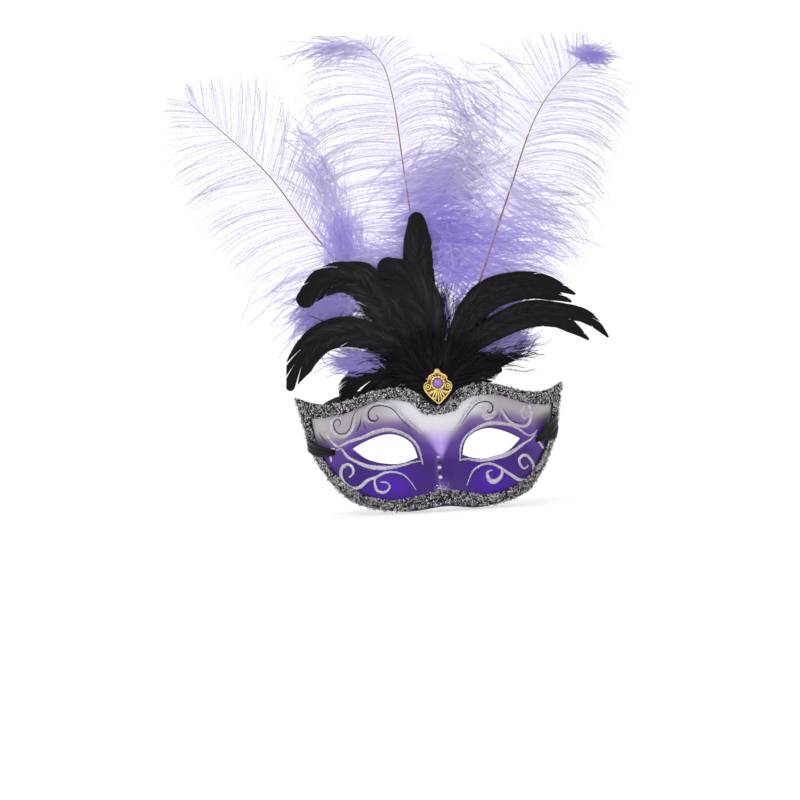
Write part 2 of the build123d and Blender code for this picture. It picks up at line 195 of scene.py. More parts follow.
# ---- building meshes
class Shape:
    """Collects vertices and faces, and makes one named piece of them."""

    def __init__(self):
        self.verts = []
        self.faces = []
        self.sizes = []
        self.finish = []
        self.count = 0

    def join(self, rows, finish=0):
        """Faces over vertices that are already there, with one row of vertex numbers for each."""
        rows = np.atleast_2d(rows)
        self.faces.append(rows.ravel())
        self.sizes.append(np.full(len(rows), rows.shape[1]))
        self.finish.append(np.broadcast_to(np.asarray(finish, int), len(rows)))

    def add(self, verts, faces, finish=0):
        """New vertices and the faces over them, numbered from 0."""
        verts = np.asarray(verts, float).reshape(-1, 3)
        self.verts.append(verts)
        self.join(np.asarray(faces, int) + self.count, finish)
        self.count += len(verts)

    def grid(self, points, finish=0, closed=False):
        """Quads over a (rows, columns, 3) array of points, or over several such arrays at once."""
        points = np.asarray(points, float)
        points = points.reshape((-1,) + points.shape[-3:])
        n, rows, columns = points.shape[:3]
        i, j = np.meshgrid(np.arange(rows - 1), np.arange(columns - (not closed)), indexing="ij")
        here = i * columns + j
        beside = i * columns + (j + 1) % columns
        quads = np.stack([here, here + columns, beside + columns, beside], -1).reshape(-1, 4)
        faces = (quads[None] + (np.arange(n) * rows * columns)[:, None, None]).reshape(-1, 4)
        if np.ndim(finish) == 1 and len(finish) == n:
            finish = np.repeat(finish, len(quads))
        self.add(points, faces, finish)

    def tube(self, paths, radius, sides=6, finish=0, flat=1.0, up=None, capped=True):
        """Round or flattened tubes along (n, points, 3) paths."""
        paths = np.asarray(paths, float)
        paths = paths.reshape((-1,) + paths.shape[-2:])
        n, m = paths.shape[:2]
        radius = np.broadcast_to(np.asarray(radius, float), (n, m))[..., None]
        tangent = unit(np.gradient(paths, axis=1))
        if up is None:
            up = np.where(np.abs(tangent[..., 2:3]) < 0.8, [0, 0, 1.0], [0, 1.0, 0])
        side = unit(np.cross(tangent, up))
        top = np.cross(side, tangent)
        angle = np.linspace(0, 2 * math.pi, sides, endpoint=False)
        rings = [paths + radius * (side * math.cos(a) + top * math.sin(a) * flat) for a in angle]
        self.grid(np.stack(rings, 2), finish, closed=True)
        if capped:
            first = self.count - n * m * sides
            start = first + (np.arange(n) * m * sides)[:, None] + np.arange(sides)[None]
            self.join(np.concatenate([start, (start + (m - 1) * sides)[:, ::-1]]), finish)

    def strips(self, paths, side, half, finish=0):
        """Flat strips along (n, points, 3) paths, with unit side vectors and half widths."""
        half = np.broadcast_to(np.asarray(half, float), paths.shape[:2])[..., None]
        self.grid(np.stack([paths - side * half, paths + side * half], 2), finish)

    def ball(self, centre, radii, rows=8, columns=14, finish=0):
        """A closed ellipsoid."""
        a = np.linspace(0.02, math.pi - 0.02, rows)[:, None]
        b = np.linspace(0, 2 * math.pi, columns, endpoint=False)[None]
        points = np.stack([np.sin(a) * np.cos(b), np.sin(a) * np.sin(b), np.cos(a) + 0 * b], -1)
        self.grid(points * np.array(radii) + np.array(centre), finish, closed=True)
        self.join(np.arange(columns) + [[self.count - rows * columns], [self.count - columns]], finish)

    def piece(self, name, materials, body="root", replaces=(), smooth=True):
        """Makes the object, sets it on the body it rides on, and hides the CAD nodes it replaces."""
        mesh = bpy.data.meshes.new(name)
        verts = np.concatenate(self.verts) * MM
        loops = np.concatenate(self.faces)
        sizes = np.concatenate(self.sizes)
        mesh.vertices.add(len(verts))
        mesh.vertices.foreach_set("co", verts.astype(np.float32).ravel())
        mesh.loops.add(len(loops))
        mesh.loops.foreach_set("vertex_index", loops.astype(np.int32))
        mesh.polygons.add(len(sizes))
        mesh.polygons.foreach_set("loop_start", np.r_[0, np.cumsum(sizes)[:-1]].astype(np.int32))
        mesh.polygons.foreach_set("material_index", np.concatenate(self.finish).astype(np.int32))
        mesh.polygons.foreach_set("use_smooth", np.full(len(sizes), smooth))
        for material in materials if isinstance(materials, list) else [materials]:
            mesh.materials.append(material)
        mesh.update(calc_edges=True)
        made = bpy.data.objects.new(name, mesh)
        bpy.context.scene.collection.objects.link(made)
        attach(made, body)
        if replaces:
            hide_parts(*replaces)
        return made


# ---- materials
def srgb(r, g, b):
    """A linear colour from the 0 to 255 values it shows as."""
    return tuple(((v / 255 + 0.055) / 1.055) ** 2.4 if v > 10 else v / 255 / 12.92 for v in (r, g, b)) + (1,)


def finish(name, colour, roughness=0.5, metallic=0.0, specular=0.5, sheen=0.0, sheen_tint=None, coat=0.0,
           coat_roughness=0.1, vary=0.0, grain=0.0, grain_scale=900.0, stretch=(1, 1, 1), bump=0.0,
           painted=None, anisotropic=0.0, subsurface=0.0):
    """A Principled material. vary and grain change colour and roughness by noise, bump raises it."""
    material = bpy.data.materials.new(name)
    material.use_nodes = True
    nodes, links = material.node_tree.nodes, material.node_tree.links
    shader = nodes["Principled BSDF"]
    sockets = {
        "Base Color": colour,
        "Roughness": roughness,
        "Metallic": metallic,
        "Specular IOR Level": specular,
        "Sheen Weight": sheen,
        "Sheen Roughness": 0.4,
        "Coat Weight": coat,
        "Coat Roughness": coat_roughness,
        "Anisotropic": anisotropic,
        "Subsurface Weight": subsurface,
        "Subsurface Scale": 0.002,
    }
    if sheen_tint:
        sockets["Sheen Tint"] = sheen_tint
    for socket, value in sockets.items():
        shader.inputs[socket].default_value = value
    if not (vary or grain or bump or painted):
        return material
    where = nodes.new("ShaderNodeTexCoord")
    scale = nodes.new("ShaderNodeMapping")
    scale.inputs["Scale"].default_value = stretch
    links.new(where.outputs["Object"], scale.inputs["Vector"])
    noise = nodes.new("ShaderNodeTexNoise")
    noise.inputs["Scale"].default_value = grain_scale
    noise.inputs["Detail"].default_value = 3
    links.new(scale.outputs["Vector"], noise.inputs["Vector"])

    def noise_between(low, high):
        """The noise's middle, spread from low to high."""
        spread = nodes.new("ShaderNodeMapRange")
        for socket, value in (("From Min", 0.3), ("From Max", 0.7), ("To Min", low), ("To Max", high)):
            spread.inputs[socket].default_value = value
        links.new(noise.outputs["Fac"], spread.inputs["Value"])
        return spread.outputs["Result"]

    if painted or vary:
        shade = nodes.new("ShaderNodeMix")
        shade.data_type = "RGBA"
        shade.blend_type = "MULTIPLY"
        shade.inputs["Factor"].default_value = 1
        links.new(noise_between(1 - vary, 1 + vary), shade.inputs["B"])
        if painted:
            paint = nodes.new("ShaderNodeAttribute")
            paint.attribute_name = painted
            links.new(paint.outputs["Color"], shade.inputs["A"])
        else:
            shade.inputs["A"].default_value = colour
        links.new(shade.outputs["Result"], shader.inputs["Base Color"])
    if grain:
        uneven = noise_between(max(0.02, roughness - grain), roughness + grain)
        links.new(uneven, shader.inputs["Roughness"])
    if bump:
        raised = nodes.new("ShaderNodeBump")
        raised.inputs["Strength"].default_value = 1
        raised.inputs["Distance"].default_value = bump * MM
        links.new(noise.outputs["Fac"], raised.inputs["Height"])
        links.new(raised.outputs["Normal"], shader.inputs["Normal"])
    return material


PAINT = finish("mask_paint", srgb(110, 90, 150), roughness=0.36, metallic=0.3, specular=0.25, coat=0.12,
               coat_roughness=0.3, vary=0.05, grain=0.08, grain_scale=1500, bump=0.03, painted="airbrush")
LINING = finish("mask_lining", srgb(206, 202, 196), roughness=0.75, vary=0.05, grain=0.1, grain_scale=700,
                bump=0.06)
SILVER_GLITTER = finish("silver_glitter", srgb(222, 220, 226), roughness=0.22, metallic=0.9)
# a darker copy of the silver flakes: painted shade for flakes turned away from the light
GLITTER_IN_PAINTED_SHADE = finish("glitter_in_painted_shade", srgb(118, 112, 128), roughness=0.3, metallic=0.9)
GLITTER_GLUE = finish("glitter_glue", srgb(190, 186, 198), roughness=0.34, metallic=0.4, vary=0.3, grain=0.15,
                      grain_scale=2600, bump=0.12)
PINK_GLITTER = finish("pink_glitter", srgb(176, 140, 160), roughness=0.25, metallic=0.8, vary=0.2,
                      grain_scale=2600, bump=0.1)
# black for the nose dots and for the lines beside the glitter: black paint, and on those lines painted shadow
# too
BLACK_PAINT_AND_SHADOW = finish("black_paint_and_painted_shadow", srgb(22, 19, 28), roughness=0.3, coat=0.3, specular=0.2, vary=0.3,
                       grain=0.1, grain_scale=2400, bump=0.05)
FLAKES = [SILVER_GLITTER, GLITTER_GLUE, GLITTER_IN_PAINTED_SHADE]
GIMP_SILVER = finish("gimp_silver", srgb(232, 230, 232), roughness=0.25, metallic=1.0)
GIMP_GREY = finish("gimp_grey", srgb(140, 138, 142), roughness=0.35, metallic=0.9)
GIMP_BLACK = finish("gimp_black", srgb(22, 21, 24), roughness=0.42, metallic=0.3, specular=0.2)
GIMP_BASE = finish("gimp_base", srgb(34, 33, 36), roughness=0.7, specular=0.15, vary=0.5, grain=0.15,
                   grain_scale=1400, bump=0.4)
FEATHER = finish("black_feather", srgb(13, 13, 15), roughness=0.42, specular=0.10, sheen=0.02,
                 sheen_tint=srgb(190, 195, 205), vary=0.35, grain=0.12, grain_scale=240, bump=0.06)
# a lighter, slightly glossier black for the feathers' sheen: painted sheen
FEATHER_PAINTED_SHEEN = finish("black_feather_painted_sheen", srgb(19, 19, 22), roughness=0.4, specular=0.16, vary=0.3,
                       grain_scale=300, bump=0.05)
FEATHER_SOFT = finish("black_feather_down", srgb(12, 12, 14), roughness=0.75, specular=0.04)
FEATHER_QUILL = finish("black_feather_quill", srgb(20, 18, 18), roughness=0.45, specular=0.12, vary=0.2,
                       grain_scale=900, bump=0.03)
PLUME_QUILL = finish("plume_quill", srgb(122, 84, 72), roughness=0.45, vary=0.25, grain=0.1, grain_scale=500,
                     bump=0.04)
# the plumes' colours from near white to deep violet, and the greyer ones of the barbs' ends
SHADES = [(224, 220, 238), (206, 199, 233), (186, 176, 230), (165, 152, 224), (144, 129, 218),
          (122, 105, 205), (102, 82, 192)]
GREY_SHADES = [(192, 188, 206), (166, 161, 190), (140, 134, 172)]
PLUME = [finish("ostrich_%d" % i, srgb(*rgb), roughness=0.75, specular=0.08, sheen=0.05)
         for i, rgb in enumerate(SHADES + GREY_SHADES)]
GOLD = finish("gold", srgb(222, 200, 128), roughness=0.2, metallic=1.0, vary=0.15, grain=0.1,
              grain_scale=1200, bump=0.06)
# a darker gold for the brooch's pressed ground and claws: painted shade in the recesses between the raised
# gold
GOLD_IN_PAINTED_SHADE = finish("dark_gold", srgb(112, 82, 34), roughness=0.28, metallic=1.0, vary=0.3, grain=0.12,
                   grain_scale=1600, bump=0.05)
STONE = finish("purple_stone", srgb(118, 70, 172), roughness=0.22, specular=0.8, coat=1.0,
               coat_roughness=0.12, vary=0.25, grain_scale=300, bump=0.01, subsurface=0.1)
SATIN = finish("satin_ribbon", srgb(15, 15, 18), roughness=0.4, specular=0.2, sheen=0.05, anisotropic=0.4,
               vary=0.2, grain=0.06, grain_scale=3500, stretch=(0.2, 0.2, 3), bump=0.02)
TAPE = finish("binding_tape", srgb(24, 23, 25), roughness=0.7, specular=0.25, vary=0.3, grain=0.1,
              grain_scale=1800, bump=0.08)
FELT = finish("felt", srgb(26, 25, 29), roughness=0.95, specular=0.1, sheen=0.3, vary=0.4, grain_scale=2200,
              bump=0.25)
FLOOR = finish("floor", srgb(252, 252, 252), roughness=0.8, specular=0.1, vary=0.01, grain_scale=30)

# ---- ribbons: the routes of the CAD source, x across and distance back from the slot
RIBBON_X = 70.0
RIBBON_RISE = math.radians(14)
KNOT_X = 12.0
KNOT_BACK = 152.5
KNOT = (16.0, 9.0, 12.0)
KNOT_SIDES = 40
KNOT_RINGS = 15
STOP_KNOT = (59.2, -3.0)
TAIL_GAP = 5.2
LOOP_LENGTH = 42.0
LOOP_DEPTH = 12.0
LOOP_DROOP = math.radians(16)
ROUTES = {
    "right": [(61.0, -3.0), (76.8, -3.4), (84.7, 6.2), (84.6, 16.5), (81.0, 33.0), (75.8, 60.0), (74.0, 87.0),
              (68.0, 111.0), (57.0, 131.0), (41.0, 145.5), (20.0, 152.0)],
    "left": [(-61.0, -3.0), (-76.8, -3.4), (-84.7, 6.2), (-84.6, 16.5), (-81.0, 33.0), (-75.8, 60.0),
             (-74.0, 87.0), (-68.0, 111.0), (-57.0, 131.0), (-41.0, 145.5), (-20.0, 152.0), (4.0, 153.5)],
}
# how far above its sloping plane each ribbon's first points lie, and its half width at the mask's edge
LIFTS = {"right": [-2, 3, 10, 8, 5, 2], "left": [0, 0.5, 4.5, 4, 2.5, 1]}
FAN = {"right": 8.0, "left": 4.6}
SATIN_THICKNESS = 0.45
TAIL_ROUTE = [(0, 0), (3.5, -13), (4.5, -28), (2.0, -43), (3.0, -58), (1.5, -70)]
SLOPE_Y = float(inner_y(np.array([RIBBON_X]), np.array([SLOT_Z]))[0])
SLOPE_UP = np.array([0, -math.sin(RIBBON_RISE), math.cos(RIBBON_RISE)])


def on_slope(points, lift=0.0):
    """Points of the ribbons' sloping plane, set in the frame."""
    p = np.asarray(points, float)
    back = np.array([0, math.cos(RIBBON_RISE), math.sin(RIBBON_RISE)])
    origin = np.array([0, SLOPE_Y, SLOT_Z])
    return origin + p[..., :1] * np.array([1.0, 0, 0]) + p[..., 1:2] * back + np.asarray(lift) * SLOPE_UP


def nurbs_line(points):
    """Points of a smooth NURBS line whose control points are the route's, in millimetres."""
    curve = bpy.data.curves.new("route", "CURVE")
    curve.dimensions = "3D"
    line = curve.splines.new("NURBS")
    line.points.add(len(points) - 1)
    for place, point in zip(line.points, points):
        place.co = (*(float(v) * MM for v in point), 1)
    line.order_u = 3
    line.use_endpoint_u = True
    line.resolution_u = 14
    holder = bpy.data.objects.new("route", curve)
    mesh = bpy.data.meshes.new_from_object(holder)
    path = np.array([v.co for v in mesh.vertices]) / MM
    bpy.data.objects.remove(holder)
    bpy.data.curves.remove(curve)
    bpy.data.meshes.remove(mesh)
    return path


def band(name, node, path, up, half, gather, columns=11):
    """A closed satin band along a path. up is its width's direction, and gather makes lengthwise folds."""
    up = np.broadcast_to(up, path.shape)
    flat = np.cross(unit(np.gradient(path, axis=0)), up)
    v = np.linspace(-1, 1, columns)
    fold = np.sin(v * 8.5 + 0.6) * 0.55 + np.sin(v * 15 + 2.0) * 0.25
    edge = np.sqrt(np.clip(1 - np.abs(v) ** 6, 0.05, 1)) * SATIN_THICKNESS / 2
    middle = path[:, None] + up[:, None] * (half[:, None] * v[None])[..., None]
    faces = []
    for side in (1, -1):
        offset = gather[:, None] * fold[None] + side * edge[None]
        faces.append(middle + flat[:, None] * offset[..., None])
    shape = Shape()
    shape.grid(np.concatenate([faces[0], faces[1][:, ::-1]], 1), closed=True)
    i = np.arange(columns - 1)
    for first in (0, shape.count - 2 * columns):
        back = first + 2 * columns - 1 - i
        shape.join(np.stack([first + i, first + i + 1, back - 1, back], 1))
    return shape.piece(name, SATIN, replaces=[node])


knot_centre = on_slope([KNOT_X, KNOT_BACK])

# the bow's knot: a band wound round the middle, with pleats
knot = Shape()
angle = np.linspace(0, 2 * math.pi, KNOT_SIDES, endpoint=False)
across_knot = np.linspace(-1, 1, KNOT_RINGS)
ring = []
for v, size in zip(across_knot, 1 - 0.16 * across_knot ** 4):
    pleat = 1 + 0.035 * np.sin(3 * angle + 3 * v) + 0.02 * math.sin(9 * v)
    y = np.sign(np.cos(angle)) * np.abs(np.cos(angle)) ** 0.8 * (KNOT[1] / 2 - 0.3) * size * pleat
    z = np.sign(np.sin(angle)) * np.abs(np.sin(angle)) ** 0.8 * (KNOT[2] / 2 - 0.3) * size * pleat
    ring.append(np.stack([np.full_like(angle, v * (KNOT[0] / 2 - 0.2)), y, z], 1))
knot.grid(np.array(ring) + knot_centre, closed=True)
knot.join(np.arange(KNOT_SIDES) + [[0], [(KNOT_RINGS - 1) * KNOT_SIDES]])
knot_piece = knot.piece("satin_bow_knot", SATIN, replaces=["bow_knot"])

for name, side in (("left", -1), ("right", 1)):
    lifts = np.zeros((len(ROUTES[name]), 1))
    lifts[:len(LIFTS[name]), 0] = LIFTS[name]
    path = nurbs_line(on_slope(ROUTES[name], lifts))
    tangent = unit(np.gradient(path, axis=0))
    up_band = unit(SLOPE_UP - tangent * (tangent @ SLOPE_UP)[:, None])
    run = distances(path)
    end = run[-1]
    half = np.interp(run, [0, 7, 11, 22, 40, end - 16, end], [2.2, 2.2, 2.6, FAN[name], 4.9, 4.9, 3.3])
    gather = np.interp(run, [0, 8, 14, 26, 44, end - 24, end], [0.95, 0.95, 0.8, 0.7, 0.1, 0.08, 0.4])
    ribbon_piece = band("satin_ribbon_" + name, "ribbon_" + name, path, up_band, half, gather, columns=19)

    # the stop knot inside the mask: an overhand knot, two crossed turns
    stop = Shape()
    centre = on_slope([side * STOP_KNOT[0], STOP_KNOT[1]])
    turn = np.linspace(0, 2 * math.pi, 34)
    for tilt in (-0.5, 0.5):
        loop = np.stack([
            1.1 * np.cos(turn) * math.sin(tilt) + 0.25 * np.sin(turn),
            1.7 * np.cos(turn) * math.cos(tilt),
            3.0 * np.sin(turn),
        ], 1)
        stop.tube(loop + centre, 1.25 + 0.2 * np.sin(3 * turn), sides=10, flat=0.8, capped=False)
    stop.ball(centre, (1.5, 2.0, 3.4))
    stop_node = "ribbon_stop_" + name
    stop_piece = stop.piece("satin_stop_knot_" + name, SATIN, replaces=[stop_node])

    # a loop of the bow: out and back as one turn of ribbon, pinched at the knot
    x0, y0 = KNOT[0] / 2 - 1.0, KNOT[1] / 2 + 0.6
    turn_points = [
        (x0, y0),
        (0.5 * LOOP_LENGTH, y0 + 0.25 * LOOP_DEPTH),
        (LOOP_LENGTH, y0 + 0.5 * LOOP_DEPTH),
        (0.5 * LOOP_LENGTH, y0 + LOOP_DEPTH),
        (x0, y0 + 0.45 * LOOP_DEPTH),
    ]
    flat_loop = spline(turn_points, step=1.2)
    droop = -LOOP_DROOP
    loop_path = np.stack([side * flat_loop[:, 0] * math.cos(droop), flat_loop[:, 1],
                          flat_loop[:, 0] * math.sin(droop)], 1) + knot_centre
    loop_up = np.array([-side * math.sin(droop), 0, math.cos(droop)])
    share = np.linspace(0, 1, len(loop_path))
    pinch = np.minimum(1, np.minimum(share, 1 - share) * 4)
    half = 2.6 + 2.3 * ease(pinch)
    gather = 0.75 * (1 - 0.85 * ease(pinch)) + 0.08
    loop_piece = band("satin_bow_loop_" + name, "bow_loop_" + name, loop_path, loop_up, half, gather)

    # the hanging tail
    tail_top = knot_centre + np.array([side * TAIL_GAP, 0, -KNOT[2] / 2 - 0.6])
    tail_path = nurbs_line(np.array([(0, y, z) for y, z in TAIL_ROUTE], float) + tail_top)
    run = distances(tail_path)
    half = 3.2 + 1.5 * ease(run / 16)
    gather = 0.6 * (1 - ease(run / 20)) + 0.12
    tail_piece = band("satin_bow_tail_" + name, "bow_tail_" + name, tail_path, [1.0, 0, 0], half, gather)

# ---- painted shell
LACQUER_GLARE = 0.02
STUDIO_LIGHT = 1.2
rng = np.random.default_rng(7)
outline = mirrored(TOP_EDGE, CORNER, LOWER_EDGE)
loops = [outline]
for side in (-1, 1):
    eye = np.concatenate([spline(EYE_UPPER, step=0.9)[:-1], spline(EYE_LOWER, step=0.9)[:-1]])
    loops.append(eye * [side, 1])
    w, h = SLOT_SIZE[0] / 2, SLOT_SIZE[1] / 2
    corners = np.array([(-w, -h), (0, -h), (w, -h), (w, 0), (w, h), (0, h), (-w, h), (-w, 0)])
    loops.append(corners + [side * SLOT_X, SLOT_Z])
GRID = 1.25              # how far apart the points of the shell's mesh are
EDGE_CLEARANCE = 0.45    # the square of how near they come to an edge
columns, rows = np.meshgrid(np.arange(-90, 90, GRID), np.arange(-46, 40, GRID * 0.87))
columns = columns + (np.arange(len(rows)) % 2)[:, None] * GRID / 2
spots = np.stack([columns.ravel(), rows.ravel()], 1)
edge_points = np.concatenate(loops)


def on_shell(x, z):
    """Which points lie inside the outline and outside the holes."""
    found = inside(outline, x, z)
    for hole in loops[1:]:
        found &= ~inside(hole, x, z)
    return found


nearest = np.array([np.min(np.sum((edge_points - p) ** 2, 1)) for p in spots])
spots = spots[on_shell(*spots.T) & (nearest > EDGE_CLEARANCE)]
edges = []
first = 0
for loop in loops:
    edges += [(first + i, first + (i + 1) % len(loop)) for i in range(len(loop))]
    first += len(loop)
points = [Vector(p) for p in np.concatenate([edge_points, spots])]
flat_points, _, triangles, _, _, _ = delaunay_2d_cdt(points, edges, [], 1, 1e-4)
flat_points = np.array(flat_points)
triangles = np.array(triangles)
triangles = triangles[on_shell(*flat_points[triangles].mean(1).T)]
a, b, c = (flat_points[triangles[:, i]] for i in range(3))
turned = (b - a)[:, 0] * (c - a)[:, 1] - (b - a)[:, 1] * (c - a)[:, 0] < 0
triangles[turned] = triangles[turned][:, ::-1]
pairs = np.concatenate([triangles[:, [0, 1]], triangles[:, [1, 2]], triangles[:, [2, 0]]])
code = pairs.min(1) * len(flat_points) + pairs.max(1)
_, inverse, counts = np.unique(code, return_inverse=True, return_counts=True)
rim = pairs[counts[inverse] == 1]
n = len(flat_points)
shell = Shape()
shell.add(np.concatenate([on_mask(flat_points, gap)[0] for gap in (SHELL, 0)]), triangles)
shell.join(triangles[:, ::-1] + n, 1)
shell.join(np.stack([rim[:, 1], rim[:, 0], rim[:, 0] + n, rim[:, 1] + n], 1))
shell_piece = shell.piece("painted_shell", [PAINT, LINING], replaces=["mask_shell"])


def airbrush(x, z):
    """The paint's colour: silver at the top, greying into violet, pale down the nose, and a painted highlight
    on each cheek.
    """
    def mix(a, b, t):
        return a * (1 - t[:, None]) + b * t[:, None]

    def colour(*rgb):
        """The pigment that shows as these values under its lacquer, in the studio's light."""
        return np.maximum((np.array([srgb(*rgb)[:3]]) - LACQUER_GLARE) / STUDIO_LIGHT, 0)

    ax = np.abs(x)
    base = mix(colour(229, 226, 233), colour(174, 168, 174), ease((ax - 12) / 32))
    base = mix(base, colour(189, 184, 184), ease((ax - 64) / 10))
    top = 12 + 9 * ease((ax - 8) / 14) - np.where(x < 0, 11, 5) * ease((ax - 48) / 16)
    base = mix(base, colour(130, 110, 160), ease((top - z) / 7))
    base = mix(base, colour(94, 67, 148), ease((top - 6 - z) / 8))
    deep = ease((top - 16 - z) / 10) * (1 - 0.4 * ease((ax - 55) / 15))
    base = mix(base, colour(71, 47, 122), deep)
    # painted highlight: a brighter, bluer violet on each cheek, where the lacquer's gloss catches the light
    painted_highlight = np.exp(-(((ax - 32) / 14) ** 2) - ((z + 27) / 8) ** 2)
    painted_highlight += 0.6 * np.exp(-(((ax - 29) / 9) ** 2) - ((z + 17) / 4) ** 2)
    base = mix(base, colour(82, 44, 170), np.clip(painted_highlight, 0, 1))
    width = 1.5 + 0.46 * np.maximum(0, z + 8)
    pale = np.exp(-((x / width) ** 4)) * ease((z + 13) / 8)
    base = mix(base, mix(colour(178, 148, 230), colour(229, 226, 233), ease((z + 2) / 16)), pale)
    low = np.exp(-((x / 3.2) ** 2) - ((z + 30) / 4.5) ** 2)
    return mix(base, colour(150, 122, 200), 0.3 * low)


paint_colour = np.concatenate([airbrush(*flat_points.T)] * 2)
paint_colour = np.concatenate([paint_colour, np.ones((len(paint_colour), 1))], 1)
layer = shell_piece.data.color_attributes.new("airbrush", "FLOAT_COLOR", "POINT")
layer.data.foreach_set("color", paint_colour.astype(np.float32).ravel())

# ---- painted lines and glitter: (start width, middle width, end width, points)
SILVER_LINES = {
    "left": [
        (0.9, 1.9, 0.9, [
            (-73.5, 14), (-71, 9), (-68, 4.5), (-64, 1.5), (-60.5, 3), (-49, 7), (-43, 9.5),
            (-37.5, 11), (-32.5, 11.5), (-26.5, 10), (-21.5, 7.5), (-16.5, 3), (-13.5, -2), (-12, -8),
            (-11, -14),
        ]),
        (0.9, 2.0, 0.8, [
            (-65.5, -1), (-63, 0), (-60.5, -3.5), (-57.5, -7), (-53.5, -9.5), (-49, -12), (-39, -14.5),
            (-31.5, -14.5), (-24.5, -13.5), (-17.5, -12), (-12, -11.5),
        ]),
        (1.3, 1.5, 0.5, [
            (-58.5, -19.5), (-56.5, -17.5), (-56, -14), (-58.5, -11), (-61.5, -11.5), (-63.5, -15),
            (-63.5, -19.5), (-60.5, -24.5), (-55.5, -27), (-52, -26), (-47, -22), (-42, -20.5),
            (-38, -18.5), (-33.5, -17.5), (-28.5, -18), (-23.5, -20.5), (-19, -26), (-16.5, -30.5),
        ]),
        (0.9, 1.3, 0.6, [
            (-41, -20), (-43, -22.5), (-43, -26), (-41.5, -29.5), (-38.5, -30.5), (-35.5, -29.5),
            (-34, -26.5), (-35.5, -24.5), (-39.5, -24),
        ]),
        (0.7, 1.4, 0.9, [
            (-62, 14), (-61, 17), (-63, 21), (-67, 19.5), (-68, 14), (-66, 10), (-61, 8), (-56.5, 10.5),
            (-54, 15.5), (-53, 20), (-51.5, 23.5),
        ]),
        (0.7, 1.5, 0.7, [
            (-42, 16), (-46, 18.5), (-46.5, 23), (-43, 27.5), (-37, 28.5), (-31, 27), (-26, 23.5),
            (-22.5, 19), (-18, 14), (-13, 9), (-10.5, 7),
        ]),
        (0.8, 1.0, 0.8, [(-69.5, -4.5), (-69.2, -8.5)]),
    ],
    "right": [
        (0.8, 1.7, 0.9, [
            (12, -13), (12.5, -8), (14, -2), (17, 3), (22, 7), (28, 10), (35.5, 11.5), (44, 10.5),
            (51.5, 8), (57, 4), (62.5, 1), (68, 4.5),
        ]),
        (0.8, 2.1, 0.9, [
            (67.5, 4), (64, -0.5), (57, -4.5), (50.5, -8.5), (42, -11.5), (33.5, -13), (25, -13.5),
            (17.5, -12), (12, -12.5),
        ]),
        (0.7, 1.5, 1.2, [
            (15, -29.5), (17.5, -25), (20.5, -20.5), (26, -17), (32, -16), (38.5, -18.5), (42.5, -21.5),
            (48, -25.5), (53.5, -28.5), (58, -28), (62, -24.5), (63.5, -19.5), (61.5, -15), (58, -12),
            (54, -13.5), (53.5, -17.5), (56.5, -21), (59.5, -19),
        ]),
        (1.0, 2.2, 1.0, [
            (40.5, -19.5), (40.5, -23.5), (37.5, -27), (33.5, -28), (31, -25), (31, -21.5), (34, -20.5),
        ]),
        (1.1, 1.3, 0.8, [
            (41.5, 21), (44.5, 16), (49, 11), (55, 8), (60.5, 8), (63.5, 12), (64, 16), (63, 20),
            (60, 21.5), (58, 19.5), (56.5, 16), (59, 13), (62, 14.5),
        ]),
        (0.6, 1.6, 0.8, [(9, 7), (13, 13), (17, 18), (21.5, 23.5), (26.5, 27), (32, 27.5)]),
        (1.0, 3.0, 1.0, [(31, 23.5), (29.5, 19.5), (31.5, 16), (35.5, 16), (38, 19), (37.5, 22.5)]),
        (0.9, 1.2, 0.7, [(68.5, -3.5), (72, -8.5)]),
        (0.5, 0.8, 0.5, [(76, 7), (77.5, 11.5)]),
    ],
}
# black lines beside the silver ones: black paint, and painted shadow that the raised glitter lines cast
SHADOW_AND_BLACK_PAINT_LINES = {
    "left": [
        (0.7, 0.8, 0.5, [
            (-63.5, 15), (-62, 17.5), (-63.5, 19.5), (-66, 18), (-66, 14), (-64.5, 11), (-61, 10),
            (-57.5, 12), (-55.5, 16), (-54.5, 20), (-53, 23), (-50, 26),
        ]),
        (1.1, 0.8, 0.6, [
            (-39.5, 21), (-38.5, 19), (-41, 17.5), (-44, 19), (-44.5, 22.5), (-42, 26), (-37.5, 27),
            (-32.5, 26), (-28, 23), (-25, 19), (-20.5, 14), (-17.5, 10.5),
        ]),
        (0.3, 0.9, 0.9, [(-49, 22), (-50, 16), (-52.5, 11)]),
        (0.3, 0.7, 0.5, [(-48, 17), (-46.5, 12)]),
        (0.4, 0.8, 0.4, [(-76, 12), (-73.5, 7.5), (-71, 4.5)]),
        (0.3, 0.7, 0.3, [(-60, -23), (-55.5, -25), (-51, -24), (-46, -20.5), (-42, -18.5)]),
        (0.3, 0.9, 0.3, [
            (-41, -22), (-40, -19.5), (-36, -19), (-29, -20), (-24, -22.5), (-20.5, -27),
        ]),
        (0.4, 0.9, 0.3, [(-59, -14), (-61.5, -14.5), (-61.5, -19), (-58.5, -23.5)]),
    ],
    "right": [
        (0.6, 0.8, 1.1, [
            (15, 12.5), (18.5, 17), (23.5, 22.5), (27.5, 25), (31.5, 25.5), (35.5, 24), (36.5, 21),
            (35, 18.5), (33, 19), (33.5, 20.5),
        ]),
        (0.5, 0.8, 0.4, [
            (43.5, 20.5), (46, 16.5), (50.5, 11.5), (55.5, 10), (60, 10.5), (61.8, 14),
        ]),
        (0.4, 0.8, 0.5, [(41, 18), (39.5, 15.5), (37, 14)]),
        (0.3, 0.7, 0.5, [(42, 17.5), (43.5, 12)]),
        (0.3, 0.8, 0.3, [(18.5, -27), (21.5, -22.5), (26.5, -19), (32, -18), (37, -20)]),
        (0.3, 0.7, 0.3, [(45, -21.5), (50, -25), (55, -26), (59.5, -23), (61, -19.5)]),
        (0.4, 0.9, 0.4, [(33, -25.5), (35.5, -24.5), (36.5, -22), (34.5, -20.5)]),
    ],
}


